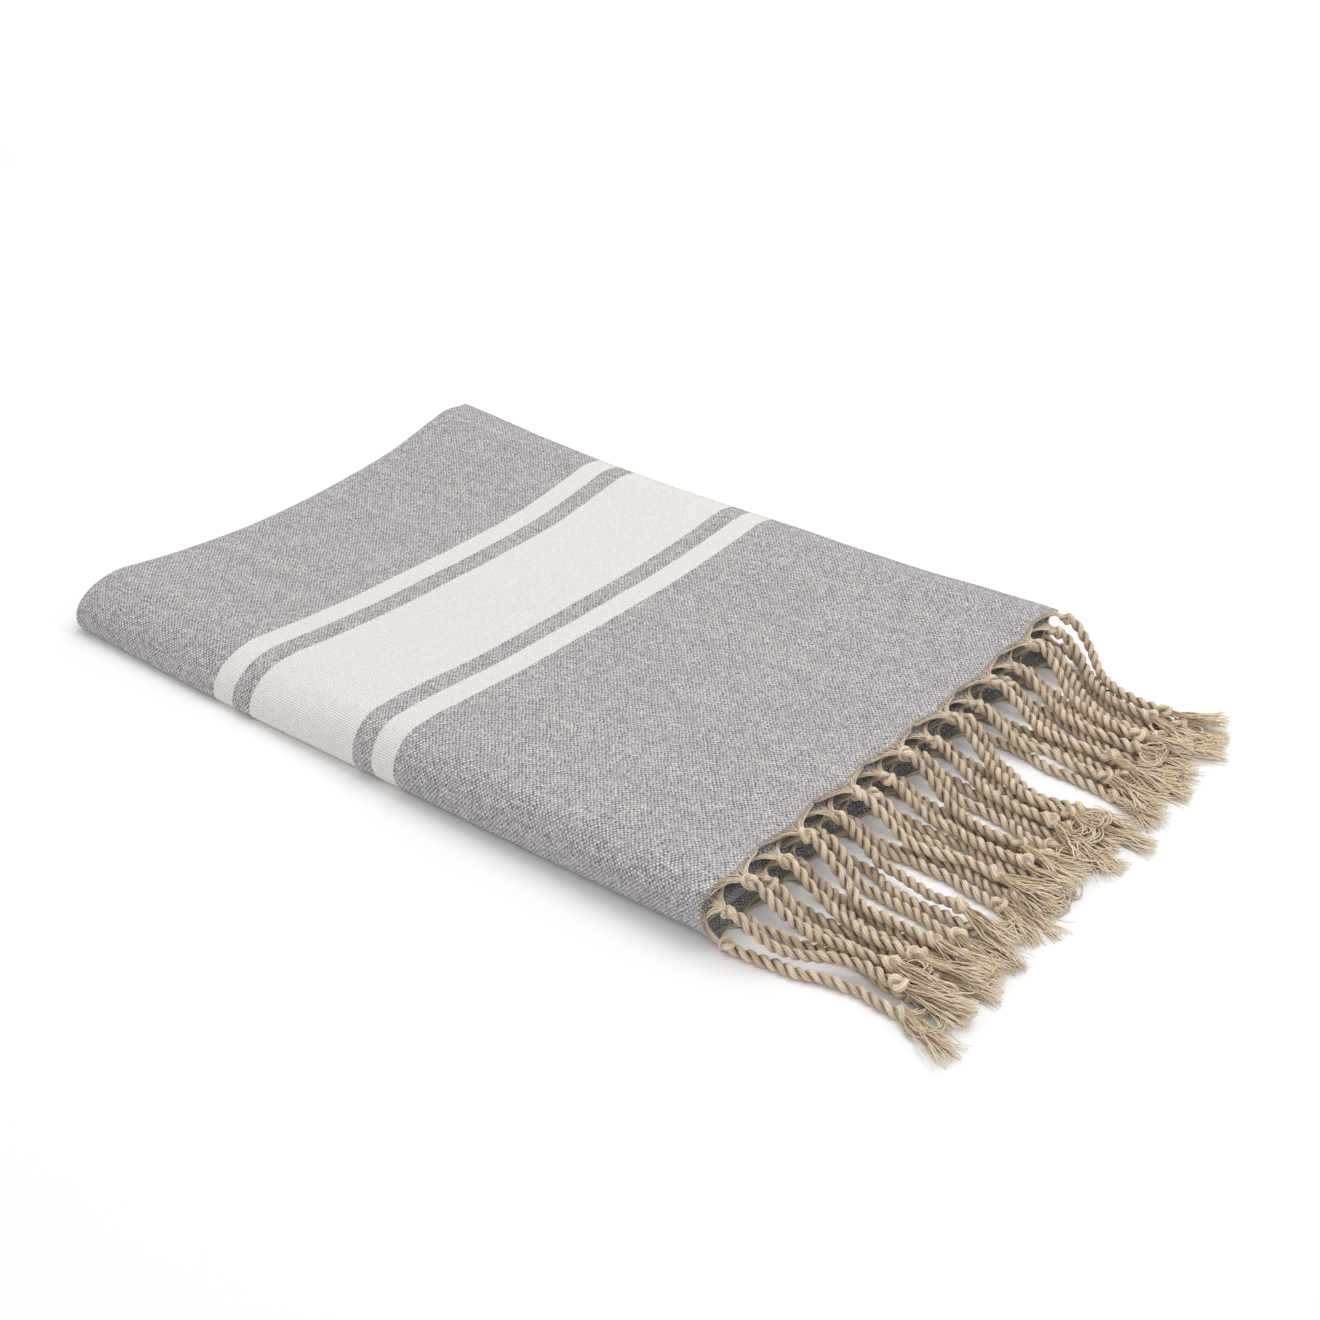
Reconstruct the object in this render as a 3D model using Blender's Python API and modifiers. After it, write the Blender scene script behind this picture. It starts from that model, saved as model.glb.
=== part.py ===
"""Hammam towel, folded into a stack and lying on a flat surface, with its fringes at the right end.

Metres, +Z up. The origin is the centre of the folded cloth's flat underside. +X runs along the stack
towards the fringed end, and the big rolled fold is at the front, -Y.

The towel is one cloth of 1.00 by 2.00 m. It is folded crosswise in half and in half again, so four
layers lie between the left fold and the fringed end. That pack of four is folded lengthwise in three:
the lower panel lies on the floor, the middle panel turns back over it at the rear, and the upper panel
rolls over the front of both.
"""

import math

import bmesh
import bpy
import numpy as np
from mathutils import Vector

# Sizes of the towel
TOWEL_WIDTH = 1.00
SHEET = 0.001  # the thickness the cloth is built with
ROOT_PITCH = 0.0455  # between two knots along an end
CORD_LENGTH = 0.096  # from the root knot to the end knot
TUFT_LENGTH = 0.041

# The folded stack, in the frame above
RIGHT = 0.244
PANEL_GAP = 0.0017  # between the middles of two packs' facing layers
MIDDLE_EDGE = -0.140  # the middle panel's free edge, inside the front roll
UPPER_EDGE = 0.178  # the upper panel's free edge
UPPER_EDGE_OUT = 0.006  # how much further back that edge lies at the left fold
UPPER_EDGE_DROOP = 0.003
BACK_CENTRE = 0.166  # where the lower and middle panels start to turn into each other
BACK_ROUNDNESS = 0.85

# The stack's height in millimetres: a row for each place along it, a column for each place across
HEIGHT_ACROSS = (-0.140, -0.090, -0.015, 0.105, 0.160)
HEIGHT_TABLE = (
    # along, front, near, middle, far, back
    (-0.250, 30.0, 23.0, 19.0, 25.0, 33.5),
    (-0.120, 27.0, 21.5, 18.5, 19.5, 28.0),
    (0.030, 33.0, 29.0, 25.5, 25.0, 28.0),
    (0.150, 33.5, 31.5, 28.5, 27.5, 30.0),
    (0.250, 33.5, 33.5, 31.0, 30.0, 34.0),
)
# The front roll: where its tip lies, how far it comes in below and above the tip, and how high the
# tip is, from 0 at its lower face to 1 at its upper face
ROLL_TABLE = (
    # along, tip, reach below, reach above, tip height
    (-0.250, -0.1785, 0.0070, 0.0330, 0.25),
    (-0.120, -0.1798, 0.0070, 0.0320, 0.19),
    (0.030, -0.1800, 0.0090, 0.0205, 0.38),
    (0.150, -0.1790, 0.0100, 0.0160, 0.50),
    (0.250, -0.1780, 0.0120, 0.0140, 0.70),
)
TIP, REACH_BELOW, REACH_ABOVE, TIP_HEIGHT = 1, 2, 3, 4
INNER_REACH = 0.4  # the innermost layer's reach below, as a part of the outermost one's
# How far the left fold stands out, in metres: across, out
LEFT_FOLD_ACROSS = (-0.180, -0.090, -0.015, 0.105, 0.180)
LEFT_FOLD_OUT = (0.003, 0.002, -0.001, 0.003, 0.010)

# Where each layer lies in its pack, from the inner face, 0, to the outer face, 1
SHARE_TABLE = (
    # along, outer first end, second end, third quarter, second quarter
    (-0.245, 1.0, 0.72, 0.28, 0.0),
    (-0.200, 1.0, 0.667, 0.333, 0.0),
    (0.175, 1.0, 0.667, 0.333, 0.0),
    (0.239, 1.0, 0.83, 0.66, 0.0),
)
FIRST_END, SECOND_END, THIRD_QUARTER, SECOND_QUARTER = 1, 2, 3, 4

# The three folds across the towel: centre, reach and the number of segments round each
LEFT_OUTER = (-0.245, 0.005, 5)
LEFT_INNER = (-0.2435, 0.0025, 4)
RIGHT_FOLD = (0.2345, 0.0035, 5)
SECOND_END_EDGE = 0.242
LONG_SEGMENTS = 6
PANEL_SEGMENTS = 6
BACK_SEGMENTS = 6
FRONT_SEGMENTS = 8

# The fringes
STRIP_GAP = 0.0004
STRIP_WIDTH = 0.004
FIRST_ROOT = 0.0028
SECOND_ROOT = 0.0285
CORNER_ROOT = 0.995
KNOT_HALF = 0.0036
CORD_HALF = 0.0028
TUFT_HALF_WIDTH = 0.0045
TUFT_HALF_HEIGHT = 0.0030
LAST_ROOT_INSET = 0.008  # the nearest that an evenly spaced root comes to the second selvedge
TOP_ROOT_HEIGHT = 0.024  # cords whose roots are higher than this lie on top of the others
KNOT_RUN = 0.008  # from the strip to where the cord starts to fall to the floor
FALL_RUN = 0.012  # the length of the fall of a cord whose root is on the floor
FALL_SLOPE = 0.85  # how much longer the fall is for a higher root
FALL_SHORTENS = 0.45  # how much of its root's height a cord loses in reach
UNEVEN_ENDS = 0.004  # how far the end knots are out of line
ROOT_DROOP = 0.0015
LANE_RUN = 0.072  # how far from the edge the cords reach their lanes
LANE_PITCH = 0.0071
TUFT_PITCH = 0.0098
LEVEL_GAP = 0.0005
LEAN = 0.2
# Where the cords come to lie, in millimetres across the stack. A root counts as further back by LEAN
# times its height: root, cord
LANE_TABLE = (
    (-172.0, -162.0),
    (-166.5, -150.0),
    (-147.0, -141.0),
    (-115.0, -127.0),
    (-101.0, -115.0),
    (-85.0, -96.0),
    (-73.0, -86.0),
    (-58.0, -53.0),
    (-29.0, -34.0),
    (-5.0, -20.0),
    (11.0, 0.0),
    (27.0, 12.0),
    (45.0, 22.0),
    (60.0, 31.0),
    (67.0, 61.0),
    (90.0, 82.0),
    (120.0, 101.0),
    (141.0, 113.0),
    (179.0, 145.0),
)

CLOTH_COLOUR = (0.46, 0.45, 0.44, 1.0)
FRINGE_COLOUR = (0.55, 0.44, 0.33, 1.0)


def clear_scene():
    for thing in list(bpy.data.objects):
        bpy.data.objects.remove(thing)


def material(name, colour):
    made = bpy.data.materials.new(name)
    made.use_nodes = True
    shader = made.node_tree.nodes["Principled BSDF"]
    shader.inputs["Base Color"].default_value = colour
    shader.inputs["Roughness"].default_value = 0.95
    return made


def smooth_curve(at, stops, values):
    """The smooth curve through the values at the stops; level beyond the first and the last."""
    stops = np.asarray(stops, float)
    values = np.asarray(values, float)
    at = min(max(at, stops[0]), stops[-1])
    slopes = np.gradient(values, stops)
    i = int(np.clip(np.searchsorted(stops, at) - 1, 0, len(stops) - 2))
    step = stops[i + 1] - stops[i]
    f = (at - stops[i]) / step
    start = (1 + 2 * f) * (1 - f) ** 2 * values[i] + f * (1 - f) ** 2 * step * slopes[i]
    end = f * f * (3 - 2 * f) * values[i + 1] - f * f * (1 - f) * step * slopes[i + 1]
    return float(start + end)


def ease(at, start, end):
    f = min(max((at - start) / (end - start), 0.0), 1.0)
    return f * f * (3 - 2 * f)


def stack_height(x, y):
    places = [row[0] for row in HEIGHT_TABLE]
    here = [smooth_curve(x, places, column) for column in list(zip(*HEIGHT_TABLE))[1:]]
    return smooth_curve(y, HEIGHT_ACROSS, here) / 1000


def pack_depth(x, y):
    """From the middle of a pack's inner layer to the middle of its outer one."""
    return (stack_height(x, y) - SHEET - 2 * PANEL_GAP) / 3


def share(x, layer):
    return float(np.interp(x, [row[0] for row in SHARE_TABLE], [row[layer] for row in SHARE_TABLE]))


def roll(x, column):
    return smooth_curve(x, [row[0] for row in ROLL_TABLE], [row[column] for row in ROLL_TABLE])


def placed(x, y, z):
    """The left fold isn't straight: it stands out most at the rear corner."""
    out = float(np.interp(y, LEFT_FOLD_ACROSS, LEFT_FOLD_OUT))
    return Vector((x - out * ease(-x, 0.12, 0.25), y, z))


def across(panel, f, x, s):
    """Where the cloth's middle lies: a fraction of the way along a panel or fold, for a pack share."""
    tip = roll(x, TIP)
    inset = (1 - s) * pack_depth(x, tip)
    below = roll(x, REACH_BELOW) * (s + (1 - s) * INNER_REACH)
    lower_start = tip + inset + below
    upper_start = tip + roll(x, REACH_ABOVE)
    if panel == "middle":
        y = MIDDLE_EDGE + f * (BACK_CENTRE - MIDDLE_EDGE)
        depth = pack_depth(x, y)
        return placed(x, y, SHEET / 2 + depth * (1 + s) + PANEL_GAP)
    if panel == "back fold":
        depth = pack_depth(x, BACK_CENTRE)
        angle = math.pi * (0.5 - f)
        half = PANEL_GAP / 2 + s * depth
        reach = PANEL_GAP / 2 + s * depth * BACK_ROUNDNESS
        middle = SHEET / 2 + depth + PANEL_GAP / 2
        return placed(x, BACK_CENTRE + reach * math.cos(angle), middle + half * math.sin(angle))
    if panel == "lower":
        y = BACK_CENTRE + f * (lower_start - BACK_CENTRE)
        return placed(x, y, SHEET / 2 + (1 - s) * pack_depth(x, y))
    if panel == "front fold":
        depth = pack_depth(x, tip)
        angle = math.pi * (f - 0.5)
        low = SHEET / 2 + (1 - s) * depth
        high = SHEET / 2 + 2 * depth + 2 * PANEL_GAP + s * depth
        middle = low + roll(x, TIP_HEIGHT) * (high - low)
        if angle < 0:
            y = lower_start - below * math.cos(angle)
            return placed(x, y, middle + (middle - low) * math.sin(angle))
        y = upper_start - (roll(x, REACH_ABOVE) - inset) * math.cos(angle)
        return placed(x, y, middle + (high - middle) * math.sin(angle))
    upper_edge = UPPER_EDGE + UPPER_EDGE_OUT * ease(-x, 0.08, 0.25)
    y = upper_start + f * (upper_edge - upper_start)
    depth = pack_depth(x, y)
    droop = UPPER_EDGE_DROOP * ease(y, 0.163, 0.183)
    return placed(x, y, SHEET / 2 + 2 * depth + 2 * PANEL_GAP + s * depth - droop)


def across_stations():
    """The panels and folds met across the towel, as (name, fraction), from the middle panel's edge."""
    stations = [("middle", i / PANEL_SEGMENTS) for i in range(PANEL_SEGMENTS)]
    stations += [("back fold", i / BACK_SEGMENTS) for i in range(BACK_SEGMENTS)]
    stations += [("lower", i / PANEL_SEGMENTS) for i in range(PANEL_SEGMENTS)]
    stations += [("front fold", i / FRONT_SEGMENTS) for i in range(FRONT_SEGMENTS)]
    stations += [("upper", i / PANEL_SEGMENTS) for i in range(PANEL_SEGMENTS + 1)]
    return stations


def straight(start, end, layer):
    places = [start + (end - start) * i / LONG_SEGMENTS for i in range(LONG_SEGMENTS + 1)]
    return [(x, share(x, layer)) for x in places]


def fold_across(fold, side, first, last):
    """The stations round a fold, without its two ends."""
    centre, reach, segments = fold
    stations = []
    for i in range(1, segments):
        angle = math.pi * i / segments
        part = (1 - math.cos(angle)) / 2
        stations.append((centre + side * reach * math.sin(angle), first + (last - first) * part))
    return stations


def along_stations():
    """(x, pack share) from the first end of the towel to its second."""
    left, inner, right = LEFT_OUTER[0], LEFT_INNER[0], RIGHT_FOLD[0]
    stations = straight(RIGHT, left, FIRST_END)
    stations += fold_across(LEFT_OUTER, -1, share(left, FIRST_END), share(left, SECOND_QUARTER))
    stations += straight(left, right, SECOND_QUARTER)
    stations += fold_across(RIGHT_FOLD, 1, share(right, SECOND_QUARTER), share(right, THIRD_QUARTER))
    stations += straight(right, inner, THIRD_QUARTER)
    stations += fold_across(LEFT_INNER, -1, share(inner, THIRD_QUARTER), share(inner, SECOND_END))
    stations += straight(inner, SECOND_END_EDGE, SECOND_END)
    return stations


def new_object(name, mesh, collection, look):
    made = bpy.data.objects.new(name, mesh)
    made.data.materials.append(look)
    collection.objects.link(made)
    return made


def folded_grid(name, along, over):
    """A flat grid of len(along) by len(over) points, each moved to where the folded cloth has it."""
    grid = bmesh.new()
    bmesh.ops.create_grid(grid, x_segments=len(along) - 1, y_segments=len(over) - 1, size=0.5)
    for vert in grid.verts:
        i = round((vert.co.x + 0.5) * (len(along) - 1))
        j = round((vert.co.y + 0.5) * (len(over) - 1))
        x, s = along[i]
        panel, f = over[j]
        vert.co = across(panel, f, x, s)
    bmesh.ops.recalc_face_normals(grid, faces=grid.faces)
    mesh = bpy.data.meshes.new(name)
    grid.to_mesh(mesh)
    grid.free()
    return mesh


def thicken(sheet):
    shell = sheet.modifiers.new("thickness", "SOLIDIFY")
    shell.thickness = SHEET
    shell.offset = 0.0
    shell.use_even_offset = True


def end_line(x, layer):
    """The folded edge of one end: its points and how far across the towel each lies."""
    points = [across(panel, f, x, share(RIGHT, layer)) for panel, f in across_stations()]
    lengths = [0.0]
    for before, after in zip(points, points[1:]):
        lengths.append(lengths[-1] + (after - before).length)
    places = [TOWEL_WIDTH * length / lengths[-1] for length in lengths]
    return points, places


def at_place(points, places, place):
    return Vector([float(np.interp(place, places, [p[axis] for p in points])) for axis in range(3)])


def edge_direction(points, places, place):
    """Along the folded edge, from the rear to the front where the edge lies flat."""
    near = 0.002
    way = at_place(points, places, place - near) - at_place(points, places, place + near)
    return (way if way.y <= 0 else -way).normalized()


def strands_of(layer, first_root, extra):
    """The roots of one end's strands, each with the panel it grows from."""
    edge = RIGHT if layer == FIRST_END else SECOND_END_EDGE
    points, places = end_line(edge, layer)
    roots = list(np.arange(first_root, TOWEL_WIDTH - LAST_ROOT_INSET, ROOT_PITCH)) + extra
    strands = []
    for place in roots:
        root = at_place(points, places, place)
        on_top = root.z > TOP_ROOT_HEIGHT
        flat = edge_direction(points, places, place)
        key = root.y + LEAN * root.z
        strands.append({"layer": layer, "root": root, "key": key, "flat": flat, "top": on_top})
    return strands


def spread(places, pitch):
    """Moves sorted places apart until no two are nearer than the pitch."""
    places = list(places)
    for _ in range(400):
        for i in range(len(places) - 1):
            short = pitch - (places[i + 1] - places[i])
            if short > 0:
                places[i] -= short / 2
                places[i + 1] += short / 2
    return places


def give_lanes(strands):
    """Sorts the strands from front to back and gives each a place for its cord and for its tuft."""
    roots = [row[0] / 1000 for row in LANE_TABLE]
    cords = [row[1] / 1000 for row in LANE_TABLE]
    for level in (False, True):
        group = [strand for strand in strands if strand["top"] == level]
        group.sort(key=lambda strand: strand["key"])
        wished = [float(np.interp(strand["key"], roots, cords)) for strand in group]
        lanes = spread(wished, LANE_PITCH)
        tufts = spread(lanes, TUFT_PITCH)
        for strand, lane, tuft in zip(group, lanes, tufts):
            strand["lane"] = lane
            strand["tuft"] = tuft


def strand_sections(strand, index):
    """(middle, half width, half height) from inside the backing strip to the end of the tuft."""
    root = strand["root"]
    strip_edge = root.x + STRIP_GAP + STRIP_WIDTH
    edge = RIGHT + STRIP_GAP + STRIP_WIDTH
    fall = max(root.z - KNOT_HALF, 0.0)
    fall_start = edge + KNOT_RUN
    land = fall_start + FALL_RUN + FALL_SLOPE * fall
    end = edge + CORD_LENGTH - FALL_SHORTENS * fall + UNEVEN_ENDS * math.sin(2.4 * index)
    lift = 2 * CORD_HALF + LEVEL_GAP if strand["top"] else 0.0
    tuft_lift = 2 * TUFT_HALF_HEIGHT + LEVEL_GAP if strand["top"] else 0.0
    drop = land - fall_start
    run = end - land
    # place along, half width, half height
    rows = [
        (strip_edge - 0.0022, 0.0016, 0.00030),
        (edge + 0.0004, 0.0018, 0.00035),
        (edge + 0.0020, KNOT_HALF, 0.0030),
        (edge + 0.0065, KNOT_HALF, 0.0030),
        (edge + 0.0095, CORD_HALF, CORD_HALF),
        (fall_start + 0.45 * drop, CORD_HALF, CORD_HALF),
        (fall_start + 0.75 * drop, CORD_HALF, CORD_HALF),
        (land, CORD_HALF, CORD_HALF),
        (land + 0.4 * run, CORD_HALF, CORD_HALF),
        (end - 0.010, CORD_HALF, CORD_HALF),
        (end - 0.004, 0.0042, TUFT_HALF_HEIGHT),
        (end + 0.004, 0.0036, TUFT_HALF_HEIGHT),
        (end + 0.5 * TUFT_LENGTH, TUFT_HALF_WIDTH, TUFT_HALF_HEIGHT),
        (end + TUFT_LENGTH, TUFT_HALF_WIDTH, 0.0016),
    ]
    sections = []
    for place, half_width, half_height in rows:
        y = root.y + (strand["lane"] - root.y) * ease(place, fall_start, edge + LANE_RUN)
        y += (strand["tuft"] - strand["lane"]) * ease(place, end - 0.035, end - 0.004)
        rest = half_height + lift + (tuft_lift - lift) * ease(place, end - 0.02, end - 0.004)
        start = max(root.z - ROOT_DROOP, rest) if half_height > SHEET else root.z
        z = start + (rest - start) * ease(place, fall_start, land)
        sections.append((Vector((place, y, z)), half_width, half_height))
    return sections


def add_strand(body, strand):
    """Lofts a closed four-sided strand through its sections. Its first two lie flat in the strip."""
    sections = strand["sections"]
    rings = []
    for i, (middle, half_width, half_height) in enumerate(sections):
        before = sections[max(i - 1, 0)][0]
        after = sections[min(i + 1, len(sections) - 1)][0]
        forward = (after - before).normalized()
        side = strand["flat"] if i < 2 else forward.cross(Vector((0.0, 0.0, 1.0))).normalized()
        up = side.cross(forward)
        corners = []
        for turn in ((-1, -1), (1, -1), (1, 1), (-1, 1)):
            offset = side * turn[0] * half_width + up * turn[1] * half_height
            corners.append(body.verts.new(middle + offset))
        rings.append(corners)
    body.faces.new(rings[0])
    body.faces.new(list(reversed(rings[-1])))
    for near, far in zip(rings, rings[1:]):
        for k in range(4):
            body.faces.new((near[k], far[k], far[(k + 1) % 4], near[(k + 1) % 4]))


def strand_mesh(name, strands):
    body = bmesh.new()
    for strand in strands:
        add_strand(body, strand)
    bmesh.ops.recalc_face_normals(body, faces=body.faces)
    mesh = bpy.data.meshes.new(name)
    body.to_mesh(mesh)
    body.free()
    return mesh


def backing_mesh(name, layer):
    """The narrow strip, just off the cloth's edge, that one end's strands grow from."""
    edge = RIGHT if layer == FIRST_END else SECOND_END_EDGE
    s = share(RIGHT, layer)
    along = [(edge + STRIP_GAP, s), (edge + STRIP_GAP + STRIP_WIDTH, s)]
    return folded_grid(name, along, across_stations())


def build_fringe(name, layer, strands, collection, cutters, look):
    strip = new_object(name, backing_mesh(name, layer), collection, look)
    thicken(strip)
    cords = new_object(name + "_cords", strand_mesh(name + "_cords", strands), cutters, look)
    cords.hide_render = True
    cords.display_type = "WIRE"
    join = strip.modifiers.new("strands", "BOOLEAN")
    join.operation = "UNION"
    join.solver = "EXACT"
    join.object = cords


def main():
    clear_scene()
    towel = bpy.data.collections.new("hammam_towel")
    cutters = bpy.data.collections.new("cutters")
    bpy.context.scene.collection.children.link(towel)
    bpy.context.scene.collection.children.link(cutters)
    cloth_look = material("cloth", CLOTH_COLOUR)
    fringe_look = material("fringe", FRINGE_COLOUR)

    mesh = folded_grid("cloth", along_stations(), across_stations())
    thicken(new_object("cloth", mesh, towel, cloth_look))

    first = strands_of(FIRST_END, FIRST_ROOT, [CORNER_ROOT])
    second = strands_of(SECOND_END, SECOND_ROOT, [])
    give_lanes(first + second)
    for index, strand in enumerate(first + second):
        strand["sections"] = strand_sections(strand, index)
    build_fringe("fringe_first_end", FIRST_END, first, towel, cutters, fringe_look)
    build_fringe("fringe_second_end", SECOND_END, second, towel, cutters, fringe_look)


main()
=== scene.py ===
# %% [markdown]
# # A hammam towel, folded into a stack
#
# A hammam towel is one length of flat-woven cotton. Its warp threads run the long way and are left free
# at both ends, where they are knotted in bunches, twisted into cords and knotted again. Here it is
# folded and lies on a pale floor, with both of its fringes at the right end.
#
# The imported solids are loaded first. They are the frame: every piece made below rides on them, and the
# box round them is printed at the end beside the box round the finished towel.

# %% The imported solids
import math

import bmesh
import bpy
import numpy as np
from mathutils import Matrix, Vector
from mathutils.kdtree import KDTree


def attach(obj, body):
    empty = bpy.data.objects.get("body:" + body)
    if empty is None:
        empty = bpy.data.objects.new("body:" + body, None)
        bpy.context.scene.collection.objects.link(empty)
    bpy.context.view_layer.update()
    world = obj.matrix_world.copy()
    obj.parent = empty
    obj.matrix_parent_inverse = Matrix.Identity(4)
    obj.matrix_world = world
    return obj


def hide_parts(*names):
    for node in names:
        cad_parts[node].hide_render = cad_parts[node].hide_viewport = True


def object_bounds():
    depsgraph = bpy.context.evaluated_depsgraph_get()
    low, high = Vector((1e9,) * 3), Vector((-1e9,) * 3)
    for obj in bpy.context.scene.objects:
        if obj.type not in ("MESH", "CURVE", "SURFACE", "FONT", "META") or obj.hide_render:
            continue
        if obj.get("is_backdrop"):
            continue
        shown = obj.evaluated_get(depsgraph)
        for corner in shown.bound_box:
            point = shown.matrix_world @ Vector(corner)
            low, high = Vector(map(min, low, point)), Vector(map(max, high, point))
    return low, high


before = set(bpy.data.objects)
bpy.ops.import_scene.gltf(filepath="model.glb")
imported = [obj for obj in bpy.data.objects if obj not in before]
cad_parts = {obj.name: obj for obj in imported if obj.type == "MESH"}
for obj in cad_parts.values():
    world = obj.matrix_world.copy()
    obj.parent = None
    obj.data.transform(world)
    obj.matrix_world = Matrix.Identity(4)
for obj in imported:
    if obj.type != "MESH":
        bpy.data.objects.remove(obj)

solid_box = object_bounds()
print("solids:", sorted(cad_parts), "box", [tuple(round(x, 4) for x in c) for c in solid_box])

# %% [markdown]
# ## The camera
#
# The towel is seen from its front right corner, from about 31 degrees above the floor, with a lens that
# is a little longer than normal. A camera aimed with `to_track_quat` keeps the horizon level: its local
# -Z axis looks along the given direction and its Y axis stays up.

# %% The camera
CAMERA_AZIMUTH = math.radians(38.236)
CAMERA_ELEVATION = math.radians(31.378)
CAMERA_DISTANCE = 1.1257
LOOK_AT = Vector((0.0594, 0.0214, 0.0))

camera = bpy.data.objects.new("camera", bpy.data.cameras.new("camera"))
bpy.context.scene.collection.objects.link(camera)
camera.data.sensor_width = 36.0
camera.data.lens = 49.877
camera.data.clip_start = 0.01
towards_camera = Vector((
    math.sin(CAMERA_AZIMUTH) * math.cos(CAMERA_ELEVATION),
    -math.cos(CAMERA_AZIMUTH) * math.cos(CAMERA_ELEVATION),
    math.sin(CAMERA_ELEVATION),
))
camera.location = LOOK_AT + towards_camera * CAMERA_DISTANCE
camera.rotation_euler = (-towards_camera).to_track_quat("-Z", "Y").to_euler()
bpy.context.scene.camera = camera
bpy.context.scene.view_settings.view_transform = "Standard"
print("camera at", tuple(round(x, 3) for x in camera.location))

# %% [markdown]
# ## The sizes of the folded towel
#
# The towel is 1.00 by 2.00 m. It is folded crosswise in half and in half again, which puts four layers
# between the left fold and the fringed end. That pack of four is then folded lengthwise in three: the
# lower panel lies on the floor, the middle panel turns back over it at the rear, and the upper panel
# rolls over the front of both. The stack isn't even, so its height is a small table, and so is the
# shape of the big front roll. These are the same named values as the solids have.

# %% The sizes
RIGHT = 0.244  # the first end's edge
SHEET = 0.001  # the thickness that the solids give a layer
PANEL_GAP = 0.0017
MIDDLE_EDGE = -0.140  # the selvedge inside the stack
UPPER_EDGE = 0.178  # the selvedge on top, at the back
UPPER_EDGE_OUT = 0.006  # how much further back that edge lies at the left fold
UPPER_EDGE_DROOP, DROOP_FROM, DROOP_TO = 0.003, 0.163, 0.183
BACK_CENTRE = 0.166
BACK_ROUNDNESS = 0.85  # how far the rear fold bulges for its height

HEIGHT_ACROSS = (-0.140, -0.090, -0.015, 0.105, 0.160)
HEIGHT_TABLE = (
    # along, then millimetres at the front, near, middle, far, back
    (-0.250, 30.0, 23.0, 19.0, 25.0, 33.5),
    (-0.120, 27.0, 21.5, 18.5, 19.5, 28.0),
    (0.030, 33.0, 29.0, 25.5, 25.0, 28.0),
    (0.150, 33.5, 31.5, 28.5, 27.5, 30.0),
    (0.250, 33.5, 33.5, 31.0, 30.0, 34.0),
)
ROLL_TABLE = (
    # along, tip, reach below, reach above, tip height
    (-0.250, -0.1785, 0.0070, 0.0330, 0.25),
    (-0.120, -0.1798, 0.0070, 0.0320, 0.19),
    (0.030, -0.1800, 0.0090, 0.0205, 0.38),
    (0.150, -0.1790, 0.0100, 0.0160, 0.50),
    (0.250, -0.1780, 0.0120, 0.0140, 0.70),
)
TIP, REACH_BELOW, REACH_ABOVE, TIP_HEIGHT = 1, 2, 3, 4
INNER_REACH = 0.4  # the innermost layer's reach below, as a part of the outermost one's
LEFT_FOLD_ACROSS = (-0.180, -0.090, -0.015, 0.105, 0.180)
LEFT_FOLD_OUT = (0.003, 0.002, -0.001, 0.003, 0.010)
LEFT_END = 0.25  # the distance of the left fold from the middle of the stack
SHARE_TABLE = (
    # along, outer first end, second end, third quarter, second quarter
    (-0.245, 1.0, 0.72, 0.28, 0.0),
    (-0.200, 1.0, 0.667, 0.333, 0.0),
    (0.175, 1.0, 0.667, 0.333, 0.0),
    (0.239, 1.0, 0.83, 0.66, 0.0),
)
FIRST_END, SECOND_END, THIRD_QUARTER, SECOND_QUARTER = 1, 2, 3, 4
LEFT_OUTER, LEFT_INNER, RIGHT_FOLD = (-0.245, 0.005), (-0.2435, 0.0025), (0.2345, 0.0035)  # centre, reach
SECOND_END_EDGE = 0.242
print("stack from", HEIGHT_TABLE[1][3], "to", HEIGHT_TABLE[-1][-1], "mm high")

# %% [markdown]
# ## The fold as a map
#
# A fold is easiest to make as a map: a point of the flat cloth goes in and its place in the stack comes
# out. `smooth_curve` draws a smooth line through a few measured values. `across` takes the cloth round
# the two lengthwise folds, for a layer that lies a given share of the way out through its pack of four.
# Every function works on whole arrays of points, because the cloth has tens of thousands.

# %% The fold as a map
def smooth_curve(at, stops, values):
    stops = np.asarray(stops, float)
    at = np.clip(np.atleast_1d(np.asarray(at, float)), stops[0], stops[-1])
    values = np.stack([np.broadcast_to(value, at.shape) for value in values])
    slopes = np.gradient(values, stops, axis=0)
    i = np.clip(np.searchsorted(stops, at) - 1, 0, len(stops) - 2)
    here = np.arange(at.size)
    step = stops[i + 1] - stops[i]
    f = (at - stops[i]) / step
    start = (1 + 2 * f) * (1 - f) ** 2 * values[i, here] + f * (1 - f) ** 2 * step * slopes[i, here]
    end = f * f * (3 - 2 * f) * values[i + 1, here] - f * f * (1 - f) * step * slopes[i + 1, here]
    return start + end


def ease(at, start, end):
    f = np.clip((np.asarray(at, float) - start) / (end - start), 0.0, 1.0)
    return f * f * (3 - 2 * f)


def soft_relief(x, y):
    """The shallow unevenness that handling leaves in a folded cloth, in millimetres."""
    long_waves = 0.40 * np.sin(31 * x + 17 * y + 0.6) * np.sin(23 * y - 9 * x + 1.9)
    short_waves = 0.22 * np.sin(67 * x - 41 * y + 2.2) * np.sin(52 * y + 29 * x)
    return long_waves + short_waves


def stack_height(x, y):
    places, *columns = zip(*HEIGHT_TABLE)
    here = [smooth_curve(x, places, column) for column in columns]
    return (smooth_curve(y, HEIGHT_ACROSS, here) + soft_relief(x, y)) / 1000


def pack_depth(x, y):
    return (stack_height(x, y) - SHEET - 2 * PANEL_GAP) / 3


def share(x, layer):
    columns = list(zip(*SHARE_TABLE))
    return np.interp(x, columns[0], columns[layer])


def roll(x, column):
    columns = list(zip(*ROLL_TABLE))
    return smooth_curve(x, columns[0], columns[column])


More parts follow.
